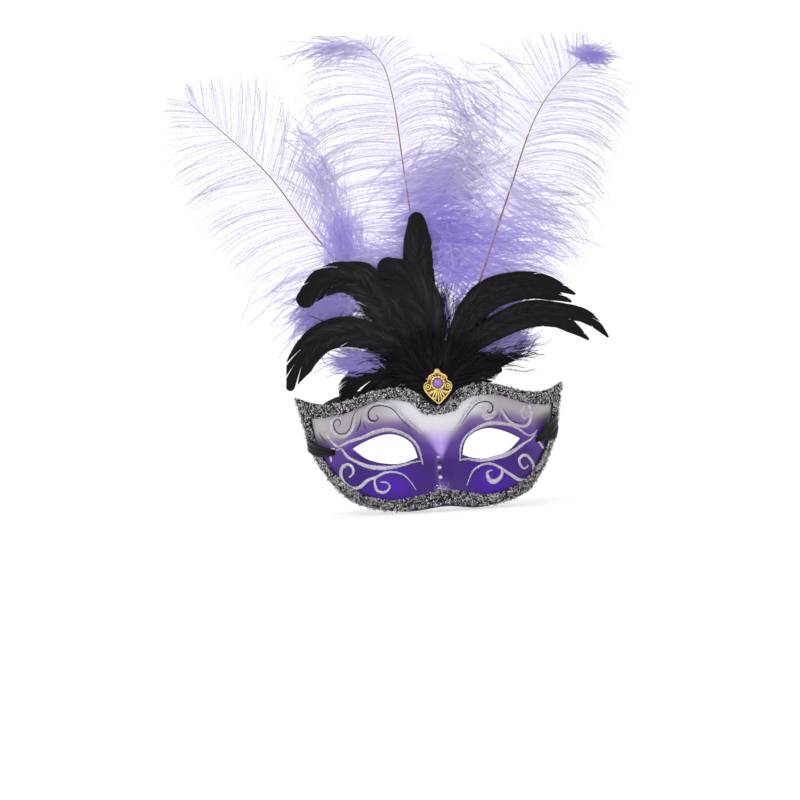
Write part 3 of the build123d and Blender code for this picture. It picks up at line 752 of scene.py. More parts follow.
def draw_lines(lines, height, gap, widen, shape, flakes, per_mm):
    """Raised lines on the shell, with flakes scattered over them."""
    for start, mid, end, points in lines:
        flat_path = spline(points, step=0.45)
        n = len(flat_path)
        share = np.linspace(0, 1, n)
        widths = np.array([start * 0.5, start, mid, end, end * 0.5])
        half = np.interp(share, [0, 0.12, 0.5, 0.88, 1], widths / 2) * widen
        half = half * (1 + 0.12 * np.sin(np.arange(n) * 1.3) * rng.uniform(0.2, 1, n))
        tangent = unit(np.gradient(flat_path, axis=0))
        side = np.stack([-tangent[:, 1], tangent[:, 0]], 1)
        rows_of_points = []
        for v in np.linspace(-1, 1, 5):
            rise = gap + height * math.sqrt(max(0.0, 1 - v * v)) * np.minimum(1, half / 0.5)
            rows_of_points.append(on_mask(flat_path + side * (half * v)[:, None], rise)[0])
        shape.grid(np.stack(rows_of_points, 1))
        if flakes is None:
            continue
        count = int(length_of(flat_path) * per_mm * max(1.0, mid))
        pick = rng.uniform(0, n - 1, count)
        low = pick.astype(int)
        spread = rng.normal(0, 0.52, count)
        onward = rng.uniform(0, 0.45, count)
        place = flat_path[low] + side[low] * (half[low] * spread)[:, None] + tangent[low] * onward[:, None]
        lift = gap + height * np.sqrt(np.clip(1 - spread ** 2, 0.05, 1)) * np.minimum(1, half[low] / 0.5)
        scatter(flakes, place, lift, 0.17, 0.30)


def scatter(shape, place, lift, small, large, tilt=0.45, narrow=0.8,
            finishes=(0, 1, 2), odds=(0.45, 0.25, 0.3)):
    """Flakes of metal foil at points (x, z) of the mask, each turned and tilted its own way."""
    centre, normal = on_mask(place, lift)
    count = len(centre)
    size = rng.uniform(small, large, count)[:, None]
    lean = unit(normal + rng.normal(0, tilt, (count, 3)))
    a = unit(np.cross(lean, unit(rng.normal(0, 1, (count, 3)))))
    b = np.cross(lean, a)
    a = a * size
    b = b * size * narrow
    corners = np.stack([centre + a, centre + b, centre - a, centre - b], 1)
    shape.add(corners, np.arange(4 * count).reshape(-1, 4), rng.choice(finishes, count, p=odds))


for side in ("left", "right"):
    lines = Shape()
    flakes = Shape()
    draw_lines(SILVER_LINES[side], 0.42, SHELL - 0.02, 1.4, lines, flakes, 15)
    lines.piece("glitter_lines_" + side, GLITTER_GLUE)
    flakes.piece("glitter_flakes_" + side, FLAKES, smooth=False)
    black = Shape()
    draw_lines(SHADOW_AND_BLACK_PAINT_LINES[side], 0.16, SHELL - 0.02, 1.0, black, None, 0)
    black.piece("black_paint_and_shadow_lines_" + side, BLACK_PAINT_AND_SHADOW)

# dots down the nose, and the patch of glitter below them
dots = Shape()
DOTS = [(-9.5, 2), (-13.5, 1), (-16.5, 0), (-20, 1), (-23, 0)]
DOT_RADIUS = 1.15
for z, kind in DOTS:
    spin = np.linspace(0, 2 * math.pi, 14, endpoint=False)
    rings = []
    for r in (1.0, 0.85, 0.55, 0.08):
        place = np.stack([-1.5 + DOT_RADIUS * r * np.cos(spin), z + DOT_RADIUS * r * np.sin(spin)], 1)
        rings.append(on_mask(place, SHELL - 0.05 + 0.55 * math.sqrt(1 - r * r))[0])
    dots.grid(np.array(rings), kind, closed=True)
dots.piece("nose_dots", [GLITTER_GLUE, BLACK_PAINT_AND_SHADOW, PINK_GLITTER])
patch_flakes = Shape()
place = np.stack([rng.normal(-1, 2.0, 320), rng.normal(-31, 1.6, 320)], 1)
scatter(patch_flakes, place, np.full(320, SHELL + 0.05), 0.12, 0.28)
# loose flakes on each brow: (x limits, how many, spread, largest flake, their line's distances out and z)
BROWS = [
    (-30, -9, 260, 1.4, 0.2, [9, 13, 20, 25, 30], [9, 12, 18, 23, 27]),
    (8, 38, 700, 1.6, 0.22, [8, 13, 20, 28, 34, 38], [7, 14, 23, 27.5, 25, 20]),
]
for low, high, count, spread, large, line_x, line_z in BROWS:
    x = rng.uniform(low, high, count)
    z = np.interp(np.abs(x), line_x, line_z) + rng.normal(0, spread, count)
    scatter(patch_flakes, np.stack([x, z], 1), np.full(count, SHELL + 0.03), 0.08, large)
patch_flakes.piece("loose_glitter", FLAKES, smooth=False)

# ---- gimp braid along the edges: a base band under looped metallic threads
LAYER_GAP = 0.05
# across the base band: (share of the way inwards, rise)
BRAID_PROFILE = [(0.0, 0.05), (0.0, 0.5), (0.06, 0.85), (0.2, 1.1), (0.5, 1.2), (0.8, 1.1), (0.94, 0.85),
                 (1.0, 0.5), (1.0, 0.05)]
# dark threads below, then silver ones: (odds of silver, grey and black, radii, rises)
THREADS = [
    ((0.05, 0.2, 0.75), (0.14, 0.24), (0.0, 0.5)),
    ((0.72, 0.16, 0.12), (0.11, 0.17), (0.45, 1.0)),
]
BRAID_STEPS = 320
LOOP_STEPS = 11
FLECKS_PER_LOOP = 1.8


def braid(name, node, outer_half, inner_half, loop_count):
    """A braid between two edges, given by their halves: a band, curled threads over it and foil flecks."""
    edges = []
    for half in (outer_half, inner_half):
        edges.append(spline(half + [(-x, z) for x, z in half[::-1] if x > 0], count=BRAID_STEPS))

    def at(u, v):
        return along(edges[0], u) * (1 - v[:, None]) + along(edges[1], u) * v[:, None]

    base = Shape()
    u = np.linspace(0, 1, BRAID_STEPS)
    rows_of_points = []
    for v, rise in BRAID_PROFILE:
        wobble = 0.12 * np.sin(u * 900 + 9 * v) * rise
        rows_of_points.append(on_mask(at(u, np.full(BRAID_STEPS, v)), SHELL + LAYER_GAP + rise + wobble)[0])
    base.grid(np.stack(rows_of_points, 1), 3, closed=True)
    for kind_odds, (thin, thick), (low_rise, high_rise) in THREADS:
        n = loop_count // 2
        u = rng.uniform(0.002, 0.998, n)
        v = rng.uniform(-0.04, 1.02, n)
        centre = at(u, v)
        bulge = 1 - (2 * v - 1) ** 4 * 0.45
        start = rng.uniform(0, 2 * math.pi, n)
        sweep = rng.uniform(2.6, 6.0, n) * rng.choice([-1, 1], n)
        radius = rng.uniform(0.3, 0.7, n)
        t = np.linspace(0, 1, LOOP_STEPS)
        angle = start[:, None] + sweep[:, None] * t[None]
        px = centre[:, :1] + radius[:, None] * np.cos(angle) * rng.uniform(0.6, 1.1, n)[:, None]
        pz = centre[:, 1:] + radius[:, None] * np.sin(angle)
        rise = rng.uniform(low_rise, high_rise, n)[:, None] + 0.3 * np.sin(angle * 0.8 + start[:, None])
        lift = SHELL + 1.1 + bulge[:, None] * rise
        paths, normal = on_mask(np.stack([px.ravel(), pz.ravel()], 1), lift.ravel())
        paths = paths.reshape(n, LOOP_STEPS, 3)
        taper = np.where((t > 0.05) & (t < 0.95), 1, 0.5)[None]
        kind = rng.choice([0, 1, 2], n, p=kind_odds)
        base.tube(paths, rng.uniform(thin, thick, n)[:, None] * taper, sides=4, finish=kind,
                  up=normal.reshape(n, LOOP_STEPS, 3), capped=False)
    count = int(loop_count * FLECKS_PER_LOOP)
    u = rng.uniform(0, 1, count)
    v = rng.uniform(0.02, 0.98, count)
    lift = SHELL + rng.uniform(1.2, 2.1, count)
    scatter(base, at(u, v), lift, 0.2, 0.42, tilt=0.6, narrow=0.5, finishes=(0, 2), odds=(0.55, 0.45))
    base.piece(name, [GIMP_SILVER, GIMP_GREY, GIMP_BLACK, GIMP_BASE], replaces=[node])


top_outer = [CORNER] + TOP_EDGE[::-1]
top_inner = [(83.5, 27.5), BRAID_CORNER] + BRAID_TOP_INNER[::-1]
low_outer = [CORNER] + LOWER_EDGE
low_inner = [BRAID_CORNER] + BRAID_LOWER_INNER
braid("gimp_braid_top", "braid_top", top_outer, top_inner, 2300)
braid("gimp_braid_bottom", "braid_bottom", low_outer, low_inner, 3000)

# ---- feathers
ROOT_RADIUS = 6.9
FAN_LEAN = 0.20
LOW_LEAN = 0.36
COQUE_FRONT = -1.5
COQUE_STEP = 0.5
QUILL_HALF_WIDTH = 0.7
BLADE = [0, 0.3, 0.68, 0.9, 1.0, 1.0, 0.97, 0.88, 0.68]
SLIM_BLADE = [0, 0.3, 0.68, 0.9, 1.0, 1.0, 0.9, 0.7, 0.35]
SIDE_BLADE = [0, 0.03, 0.45, 0.8, 0.97, 1.0, 0.92, 0.78, 0.55]
SLIM_WIDTH = 14.0
# name: (place from front to back, width, shaft from the binding to the tip)
COQUE = {
    "left_low_outer": (0, 20, [(-18, 58), (-37, 71), (-57, 77), (-74, 73), (-85, 62), (-95, 43)]),
    "left_low_inner": (1, 18, [(-18, 56), (-35, 70), (-51, 78), (-65, 78), (-78, 70), (-86, 59)]),
    "right_low_outer": (2, 12.5, [(15, 56), (31, 70), (50, 80), (69, 85), (88, 83), (105, 79), (121, 64)]),
    "right_low_inner": (3, 12.5, [(17, 54), (33, 66), (52, 75), (69, 79), (86, 77), (107, 63)]),
    "centre_left_front": (4, 27, [(-1, 65), (-3, 88), (-9, 103), (-17, 113), (-25, 118)]),
    "right_high_outer": (5, 13.5, [(11, 62), (21, 82), (36, 98), (55, 104), (74, 104), (100, 94)]),
    "right_high_inner": (6, 12.5, [(15, 62), (27, 80), (42, 92), (58, 97), (74, 97), (97, 89)]),
    "centre_left_back": (7, 24, [(-9, 62), (-15, 85), (-20, 102), (-27, 111)]),
    "left_high_outer": (8, 22, [(-17, 66), (-32, 92), (-42, 107), (-55, 114), (-69, 111), (-81, 101)]),
    "left_high_inner": (9, 18, [(-13, 68), (-26, 95), (-34, 109), (-46, 116), (-62, 113)]),
    "centre_upright": (10, 21, [(-2, 80), (-5, 111), (-4, 131), (-3, 149)]),
    "left_side_upper": (11, 18, [(-16, 48), (-29, 54), (-41, 56), (-52, 52)]),
    "right_side_upper": (12, 18, [(14, 46), (29, 53), (43, 55), (54, 55)]),
    "left_side_lower": (13, 25, [(-19, 46), (-36, 46), (-51, 40), (-60, 30)]),
    "right_side_lower": (14, 18, [(16, 42), (31, 45), (45, 46)]),
}
FACING = np.array([0, -1.0, 0])
BARB_SPACING = 0.3
BARB_STEPS = 9
DOWNY_BARBS = 44


def at_depth(flat, y):
    """Points (x, z) of the fan, set at y."""
    return np.stack([flat[..., 0], y, flat[..., 1]], -1)


def beside_line(paths):
    """Directions along (n, points, 3) paths, and across them in the plane of the fan."""
    tangent = unit(np.gradient(paths, axis=1))
    return tangent, np.cross(tangent, FACING)


def layer_y(x, z, front, lean):
    """Y of a feather's layer: shallow dishes round the binding's axis."""
    r = np.hypot(x, z - BINDING_Z)
    return front + lean * r + FAN_CURL * r * r


def shaft_of(route):
    """A feather's shaft from the binding, 200 even points (x, z)."""
    first = unit(np.array([route[0][0], route[0][1] - BINDING_Z], float)) * ROOT_RADIUS
    return spline([(first[0], BINDING_Z + first[1])] + route, count=200)


def beside(shaft, t, lateral):
    """Points (x, z) off a shaft: at shares t along it, and to its left by lateral."""
    tangent = heading(shaft, np.minimum(t, 1))
    normal = np.stack([-tangent[..., 1], tangent[..., 0]], -1)
    return along(shaft, t) + normal * np.asarray(lateral)[..., None]


def coque(name, place, width, route):
    """A cock's tail feather: quill, and close barbs on both sides that part here and there."""
    shaft = shaft_of(route)
    length = length_of(shaft)
    at_side = "side" in name
    lean = LOW_LEAN if at_side else FAN_LEAN
    blade = SIDE_BLADE if at_side else SLIM_BLADE if width < SLIM_WIDTH else BLADE
    front = COQUE_FRONT + place * COQUE_STEP
    quill_share = np.linspace(0, 1, len(blade))
    widths = QUILL_HALF_WIDTH + np.array(blade) * (width / 2 - QUILL_HALF_WIDTH)
    widths[-1] = widths[-1] * (0.3 if width < SLIM_WIDTH else 0.4 if "low" in name else 0.8)
    tip = widths[-1] / length
    bare = 0.2 if at_side else 0.08
    s = np.linspace(0, 1, BARB_STEPS)
    shape = Shape()
    for side in (-1, 1):
        t0 = np.arange(bare, 1.0, BARB_SPACING / length)
        n = len(t0)
        group = np.cumsum(rng.random(n) < 0.05)
        parting = rng.normal(0, 0.04 if at_side else 0.09, group.max() + 1)[group]
        reach = 2.1 * np.interp(t0, quill_share, widths) / length * (1 + parting)
        # the last barbs end round the tip's half circle
        round_tip = np.clip((t0 - (1 - 2.1 * tip)) / (2.1 * tip), 0, 1) * math.pi / 2
        at_tip = round_tip > 0
        end = np.where(at_tip, 1 + tip * np.sin(round_tip), np.minimum(t0 + reach, 1.0))
        blade_edge = np.where(at_tip, widths[-1] * np.cos(round_tip), np.interp(end, quill_share, widths))
        blade_edge = blade_edge * (1 + 0.35 * np.minimum(parting, 0)) * rng.uniform(0.975, 1.0, n)
        t = t0[:, None] + (end - t0)[:, None] * s[None] ** 1.35
        lateral = side * blade_edge[:, None] * s[None]
        flat = beside(shaft, t, lateral)
        camber = 1.1 * (np.abs(lateral) / (width / 2)) ** 2 - 0.35
        y = layer_y(flat[..., 0], flat[..., 1], front, lean) + camber
        y = y + rng.normal(0, 0.05, n)[:, None] + 0.5 * parting[:, None] * s[None]
        paths = at_depth(flat, y)
        wide = unit(beside_line(paths)[1] + 0.2 * FACING * rng.normal(0, 1, (n, 1, 1)))
        half = np.interp(s, [0, 0.8, 1], [0.34, 0.34, 0.14])
        # painted sheen: in long streaks down the middle of the blade, barbs take a lighter black for the
        # light they catch
        bundle = np.cumsum(rng.random(n) < 0.3)
        bundles = bundle.max() + 1
        middle = rng.normal(0.42, 0.1, bundles)[bundle]
        streak = rng.uniform(0.08, 0.42, bundles)[bundle] * np.exp(-(((t0 - 0.42) / 0.26) ** 2))
        streak = streak * (rng.random(bundles) < 0.7)[bundle]
        painted_sheen_barbs = np.abs(s[None, :-1] + 0.06 - middle[:, None]) < streak[:, None]
        shape.strips(paths, wide, half, np.where(painted_sheen_barbs, 3, 0).ravel())
        # soft barbs near the root
        t0 = rng.uniform(bare, 0.36, DOWNY_BARBS)
        t = t0[:, None] + (rng.uniform(5, 13, DOWNY_BARBS) / length)[:, None] * s[None]
        flat = beside(shaft, t, side * rng.uniform(3, width * 0.5 + 1, DOWNY_BARBS)[:, None] * s[None] ** 0.8)
        y = layer_y(flat[..., 0], flat[..., 1], front, lean)
        paths = at_depth(flat, y + rng.uniform(-0.4, 0.8, DOWNY_BARBS)[:, None] * s[None])
        shape.strips(paths, unit(beside_line(paths)[1]), np.linspace(0.2, 0.05, BARB_STEPS), 1)
    t = np.linspace(0, 1, 46)
    line = along(shaft, t)
    y = layer_y(line[:, 0], line[:, 1], front, lean) - 0.35
    shape.tube(at_depth(line, y), np.interp(t, [0, 0.3, 1], [0.6, 0.34, 0.12]), sides=8, finish=2)
    shape.piece("feather_" + name, [FEATHER, FEATHER_SOFT, FEATHER_QUILL, FEATHER_PAINTED_SHEEN],
                replaces=["coque_" + name])


for name, details in COQUE.items():
    coque(name, *details)

# short hackles that hide the quills' roots: (count, angle either side of upright, length, reach of roots)
HACKLE_LOWEST = 31.0     # none reaches down over the paint
HACKLE_STEPS = 7
HACKLES = [(620, 88, (9, 22), 6), (420, 62, (16, 34), 9), (900, 128, (14, 27), 8)]
hackles = Shape()
for count, fan, (shortest, longest), root_reach in HACKLES:
    s = np.linspace(0, 1, HACKLE_STEPS)
    angle = np.radians(90 + fan * rng.uniform(-1, 1, count))
    root = ROOT_RADIUS + rng.uniform(-2.5, root_reach, count)
    size = rng.uniform(shortest, longest, count)
    turn = rng.normal(0, 0.5, count)[:, None] * s[None] + angle[:, None]
    pace = (size / HACKLE_STEPS)[:, None]
    x = (root * np.cos(angle))[:, None] + np.cumsum(np.cos(turn), 1) * pace
    z = BINDING_Z + (root * np.sin(angle))[:, None] + np.cumsum(np.sin(turn), 1) * pace
    y = layer_y(x, z, -3.2, 0.17) + rng.uniform(0, 3.0, count)[:, None] * (1 - 0.5 * s[None])
    y = np.where(z < BINDING_Z - 6, np.maximum(y, -1.0), y)
    paths = np.stack([x, y, z], -1)
    wide = unit(beside_line(paths)[1])
    half = np.interp(s, [0, 0.5, 1], [0.32, 0.26, 0.05])[None] * rng.uniform(0.6, 1.3, count)[:, None]
    clear = z[:, -1] > HACKLE_LOWEST
    hackles.strips(paths[clear], wide[clear], half[clear], rng.integers(0, 2, clear.sum()))
hackles.piece("black_hackles", [FEATHER, FEATHER_SOFT])

# ---- ostrich plumes
PLUME_QUILL_WIDTH = 2.0
PLUME_FRONT = 7.0
PLUME_STEP = 2.4
PLUME_LEAN_STEP = 0.02
WALK_STEP = 1.5
WALK_STEPS = 90
PLUME_BARB_STEPS = 22
TUFT_STEPS = 12
PLUMES = {
    "right": (
        0,
        [(15, 65), (34, 102), (53, 145), (66, 174), (80, 205), (94, 228), (112, 247), (131, 262)],
        [(14, 96), (16, 152), (26, 200), (44, 250), (64, 268), (89, 277), (113, 280), (152, 266),
         (162, 240), (153, 207), (135, 154), (111, 112), (98, 99), (64, 92), (34, 82)],
    ),
    "centre": (
        1,
        [(-4, 90), (-6, 152), (-8, 199), (-11, 247), (-16, 264), (-26, 275)],
        [(-38, 96), (-59, 131), (-71, 168), (-80, 215), (-74, 250), (-53, 277), (-21, 283), (10, 280),
         (38, 264), (60, 237), (58, 175), (42, 111), (18, 91), (-12, 86)],
    ),
    "left": (
        2,
        [(-26, 78), (-52, 118), (-76, 152), (-96, 185), (-126, 220), (-148, 244)],
        [(-50, 190), (-75, 231), (-90, 256), (-125, 262), (-161, 252), (-169, 212), (-150, 155),
         (-120, 109), (-96, 86), (-78, 74), (-56, 76)],
    ),
}
# how each side's barbs grow, in degrees: the angle from the shaft, then the bend along the barb, each at
# the plume's root and at its tip (a positive bend droops away from the shaft), and extra curl at the ends
BARBS = {
    ("left", -1): ((56, 30), (-24, -10), 0),
    ("left", 1): ((60, 30), (88, 34), 8),
    ("centre", -1): ((64, 62), (66, 200), 75),
    ("centre", 1): ((80, 38), (26, 90), 34),
    ("right", -1): ((50, 30), (98, 92), 14),
    ("right", 1): ((70, 42), (20, 30), 40),
}
BARB_COUNT = {"left": 200, "centre": 300, "right": 290}
# loose tufts: middle x and z, spread across and up, how many, their length, heading and its spread
TUFTS = {
    "left": [
        (-72, 98, 14, 12, 120, 34, -140, 16),
        (-50, 122, 8, 13, 80, 28, 110, 20),
    ],
    "centre": [
        (12, 142, 17, 20, 270, 44, 4, 16),
        (18, 178, 20, 12, 190, 50, 8, 14),
        (-54, 140, 8, 14, 120, 32, 96, 16),
        (-64, 178, 8, 14, 70, 32, 112, 18),
        (-26, 121, 16, 8, 110, 38, 168, 14),
        (-46, 273, 12, 3, 80, 24, 186, 14),
        (46, 226, 16, 20, 34, 38, -50, 26),
        (-72, 208, 5, 12, 26, 22, 130, 24),
    ],
    "right": [
        (46, 124, 20, 16, 170, 40, -20, 22),
        (20, 112, 8, 14, 60, 28, 50, 26),
        (74, 150, 14, 20, 80, 44, -35, 14),
        (132, 261, 7, 3, 80, 18, -22, 16),
        (40, 206, 12, 16, 20, 34, 120, 22),
    ],
}
# the same for the lilac down between the black feathers, and for the black down that fills their gaps
LILAC_DOWN = [
    (-52, 57, 7, 3.5, 130, 22, 165, 12),
    (-40, 63, 6, 3, 50, 18, 160, 14),
    (19, 62, 2.5, 5, 40, 15, 70, 18),
    (52, 64, 10, 5, 160, 22, 12, 14),
    (-68, 90, 11, 7, 190, 28, -150, 14),
    (11, 84, 2.0, 8, 36, 16, 82, 12),
    (48, 92, 14, 4, 70, 24, 12, 12),
    (30, 66, 6, 4, 40, 16, 40, 18),
    (50, 86, 10, 2, 90, 22, 12, 10),
]
BLACK_DOWN = [
    (9, 86, 2.5, 9, 90, 20, 84, 14),
    (33, 79, 7, 3.5, 120, 24, 42, 12),
    (-33, 88, 8, 5, 120, 24, 140, 14),
    (50, 58, 10, 4, 110, 24, 14, 14),
    (-27, 57, 7, 4, 90, 22, 168, 14),
    (-56, 82, 8, 3, 60, 22, 178, 10),
]
# where the plumes are deeper violet: (x, z, spread across and up, how much)
DEEPER = [
    (12, 158, 28, 34, 0.36),
    (-55, 142, 13, 22, 0.34),
    (-64, 185, 14, 26, 0.18),
    (44, 226, 18, 22, 0.2),
    (62, 135, 40, 28, 0.2),
    (-46, 272, 20, 8, 0.16),
]
DEEPER_RIGHT_TIP = (133, 259, 15, 7, 0.55)


def lilac_at(name, x, z):
    """How violet a plume is at a point: 0 near white, 1 deep violet."""
    root = 1 - ease((np.hypot(x, z - BINDING_Z) - 50) / 90)
    value = 0.10 + 0.42 * root
    for x0, z0, across, tall, depth in DEEPER + [DEEPER_RIGHT_TIP] * (name == "right"):
        value = value + depth * np.exp(-(((x - x0) / across) ** 2) - ((z - z0) / tall) ** 2)
    return np.clip(value, 0, 1)


def gather_tips(paths, chance, pull):
    """Draws neighbouring barbs together towards their tips, in clumps."""
    clump = np.cumsum(rng.random(len(paths)) < chance)
    total = np.zeros((clump.max() + 1,) + paths.shape[1:])
    np.add.at(total, clump, paths)
    mean = total / np.maximum(np.bincount(clump), 1)[:, None, None]
    share = pull * ease(np.linspace(0, 1, paths.shape[1]) * 1.5)[None, :, None]
    return paths + (mean[clump] - paths) * share, clump


def walk(root, direction, step):
    """Points (x, z) of paths from their roots, one step along each direction in turn."""
    start = np.zeros((len(root), 1))
    x = root[:, :1] + np.concatenate([start, np.cumsum(np.cos(direction), 1) * step], 1)
    z = root[:, 1:] + np.concatenate([start, np.cumsum(np.sin(direction), 1) * step], 1)
    return x, z


def barb_paths(name, side, count):
    """Barbs of one side of a plume, each run until it leaves the plume's outline."""
    place, route, edge = PLUMES[name]
    shaft = shaft_of(route)
    edge = spline(edge, count=160, closed=True)
    (root_angle, tip_angle), (root_bend, tip_bend), curl = BARBS[name, side]
    bare = 0.22 if name == "centre" else 0.16
    t = bare + (0.998 - bare) * np.linspace(0, 1, count) ** 1.15
    wave = sum(np.sin(t * f + rng.uniform(0, 6)) for f in (60, 95, 150)) / 3
    tip = ease((t - 0.72) / 0.28)
    angle = np.radians(root_angle * (1 - tip) + tip_angle * tip + 4 * wave + rng.normal(0, 3.0, count))
    bend = np.radians((root_bend * (1 - t) + tip_bend * t) * rng.uniform(0.78, 1.22, count) + 9 * wave)
    s = np.arange(WALK_STEPS) / WALK_STEPS
    drift = np.cumsum(rng.normal(0, 0.020, (count, WALK_STEPS)), 1)
    ends = np.clip(s[None] * 2 - 0.55, 0, 1) ** 2
    curled = np.radians(curl) * ends * rng.uniform(0.4, 1.3, count)[:, None]
    turn = bend[:, None] * (s[None] * 1.6) ** 1.35 + curled
    tangent = heading(shaft, t)
    start = np.arctan2(tangent[:, 1], tangent[:, 0]) + side * angle
    x, z = walk(along(shaft, t), start[:, None] + side * turn + drift, WALK_STEP)
    within = inside(edge, x, z)
    within[:, :4] = True
    last = np.where(within.all(1), WALK_STEPS, np.argmin(within, 1))
    limit = np.where(t > 0.9, 34, 84) / WALK_STEP
    last = np.minimum(last, limit * rng.uniform(0.8, 1, count)) * rng.uniform(0.62, 1.0, count) ** 0.6
    last = np.clip(last, 4, WALK_STEPS)
    # each barb in as many points as the others
    pick = last[:, None] * np.linspace(0, 1, PLUME_BARB_STEPS)[None]
    low = np.clip(pick.astype(int), 0, WALK_STEPS - 1)
    f = pick - low
    each = np.arange(count)[:, None]
    x = x[each, low] * (1 - f) + x[each, low + 1] * f
    z = z[each, low] * (1 - f) + z[each, low + 1] * f
    sway = np.linspace(0, 1, PLUME_BARB_STEPS)[None] ** 1.5
    y = plume_y(place, x, z) + 0.3
    y = y + sway * (rng.normal(0.5, 1.0, count)[:, None] + 2.0 * wave[:, None])
    paths, clump = gather_tips(np.stack([x, y, z], -1), 0.5, 0.5)
    return paths, last * WALK_STEP, rng.normal(0, 0.09, clump.max() + 1)[clump]


def plume_y(place, x, z):
    """Y of the middle of a plume's quill."""
    return layer_y(x, z, PLUME_FRONT + place * PLUME_STEP, FAN_LEAN + place * PLUME_LEAN_STEP)


def fluff(shape, paths, lengths, tone, shade_of, per_mm, size, spread, thickness):
    """Barbs with fine barbules on both sides. tone shifts each barb's shade, shade_of picks it."""
    n, m = paths.shape[:2]
    tangent, wide = beside_line(paths)
    wide = unit(wide)
    core = np.interp(np.linspace(0, 1, m), [0, 0.6, 1], [0.11, 0.08, 0.03])
    middle = paths[:, m // 2]
    shape.strips(paths, wide, core, shade_of(middle[:, 0], middle[:, 2], 0.5 * np.ones(n), tone))
    per = np.maximum((lengths * per_mm).astype(int), 8)
    owner = np.repeat(np.arange(n), per)
    total = len(owner)
    u = rng.uniform(0.02, 1.0, total) ** 1.1
    k = np.clip((u * (m - 1)).astype(int), 0, m - 2)
    f = (u * (m - 1) - k)[:, None]
    root = paths[owner, k] * (1 - f) + paths[owner, k + 1] * f
    ahead = tangent[owner, k]
    side = wide[owner, k] * rng.choice([-1, 1], total)[:, None]
    turn = np.radians(rng.normal(spread, 13, total))[:, None]
    out = ahead * np.cos(turn) + side * np.sin(turn) + FACING * rng.normal(0, 0.12, total)[:, None]
    reach = size * rng.uniform(0.5, 1.2, total) * np.interp(u, [0, 0.15, 0.7, 1], [0.6, 1, 0.8, 0.3])
    edge = unit(np.cross(out, FACING)) * thickness
    verts = np.stack([root - edge, root + edge, root + out * reach[:, None]], 1)
    shade = shade_of(root[:, 0], root[:, 2], u, tone[owner])
    shape.add(verts, np.arange(3 * total).reshape(-1, 3), shade)


def tuft_paths(layer, x, z, across, tall, count, length, course, fan):
    """Loose downy barbs round a point, that head one way and curl about."""
    s = np.linspace(0, 1, TUFT_STEPS)
    size = length * rng.uniform(0.6, 1.3, count)
    pace = (size / TUFT_STEPS)[:, None]
    start = np.radians(course + rng.normal(0, fan, count))
    curve = (0.35 + rng.normal(0, 0.45, count))[:, None] * (s[None] - 0.3)
    direction = start[:, None] + curve + 0.16 * np.sin(s[None] * 7 + rng.uniform(0, 6, count)[:, None])
    px = x + rng.normal(0, across, count)[:, None] * 0.7 + np.cumsum(np.cos(direction), 1) * pace
    pz = z + rng.normal(0, tall, count)[:, None] * 0.7 + np.cumsum(np.sin(direction), 1) * pace
    px = px - math.cos(math.radians(course)) * length / 2
    pz = pz - math.sin(math.radians(course)) * length / 2
    y = layer(px, pz) + rng.uniform(-0.7, 0.7, count)[:, None] + rng.normal(0, 0.3, count)[:, None] * s[None]
    return np.stack([px, y, pz], -1), size, rng.normal(0, 0.07, count)


def shade_for(name, x, z, u, tone):
    """Which of the plume's shades a point takes: white to violet, greyer at the barbs' ends."""
    value = lilac_at(name, x, z) + tone + rng.normal(0, 0.06, np.shape(x))
    index = np.clip(np.round(value * (len(SHADES) - 1)), 0, len(SHADES) - 1).astype(int)
    far = ease((np.hypot(x, z - BINDING_Z) - 95) / 90)
    grey = rng.random(np.shape(x)) < far * (0.15 + 0.8 * ease((u - 0.45) / 0.5))
    greys = len(SHADES) + np.clip(np.round(1.4 + 5 * tone), 0, len(GREY_SHADES) - 1).astype(int)
    return np.where(grey & (value < 0.6), greys, index)


for name, (place, route, edge) in PLUMES.items():
    body = "plume_" + name
    share = np.linspace(0, 1, 90)
    line = along(shaft_of(route), share)
    radius = np.interp(share, [0, 0.35, 1], [PLUME_QUILL_WIDTH / 2, 0.7, 0.22])
    quill = Shape()
    quill.tube(at_depth(line, plume_y(place, *line.T)), radius, sides=10, flat=0.8)
    quill.piece("plume_%s_rachis" % name, PLUME_QUILL, body, ["plume_%s_quill" % name])

    def shade_of(x, z, u, tone, name=name):
        return shade_for(name, x, z, u, tone)

    def layer(x, z, place=place):
        return plume_y(place, x, z)

    for side, side_name in ((1, "upper"), (-1, "lower")):
        shape = Shape()
        paths, lengths, tone = barb_paths(name, side, BARB_COUNT[name])
        fluff(shape, paths, lengths, tone, shade_of, 7.0, 1.7, 20, 0.045)
        stands = ["plume_%s_vane" % name] if side == 1 else []
        shape.piece("plume_%s_barbs_%s" % (name, side_name), PLUME, body, stands)
    tufts = Shape()
    for details in TUFTS[name]:
        fluff(tufts, *tuft_paths(layer, *details), shade_of, 9.0, 3.8, 14, 0.035)
    tufts.piece("plume_%s_tufts" % name, PLUME, body)


# ---- down between the black feathers
def down_layer(x, z):
    return layer_y(x, z, 3.9, FAN_LEAN)


def lilac_shade(x, z, u, tone):
    value = 3.8 + 9 * tone + rng.normal(0, 0.5, np.shape(x))
    index = np.clip(np.round(value), 0, len(SHADES) - 1).astype(int)
    greyish = rng.random(np.shape(x)) < 0.5
    return np.where(greyish, len(SHADES) + len(GREY_SHADES) - 1, index)


def black_shade(x, z, u, tone):
    return rng.integers(0, 2, np.shape(x))


lilac = Shape()
for details in LILAC_DOWN:
    fluff(lilac, *tuft_paths(down_layer, *details), lilac_shade, 9.0, 3.4, 16, 0.035)
lilac.piece("lilac_down", PLUME)
black = Shape()
for details in BLACK_DOWN:
    fluff(black, *tuft_paths(down_layer, *details), black_shade, 7.0, 3.2, 16, 0.05)
black.piece("black_down", [FEATHER, FEATHER_SOFT])

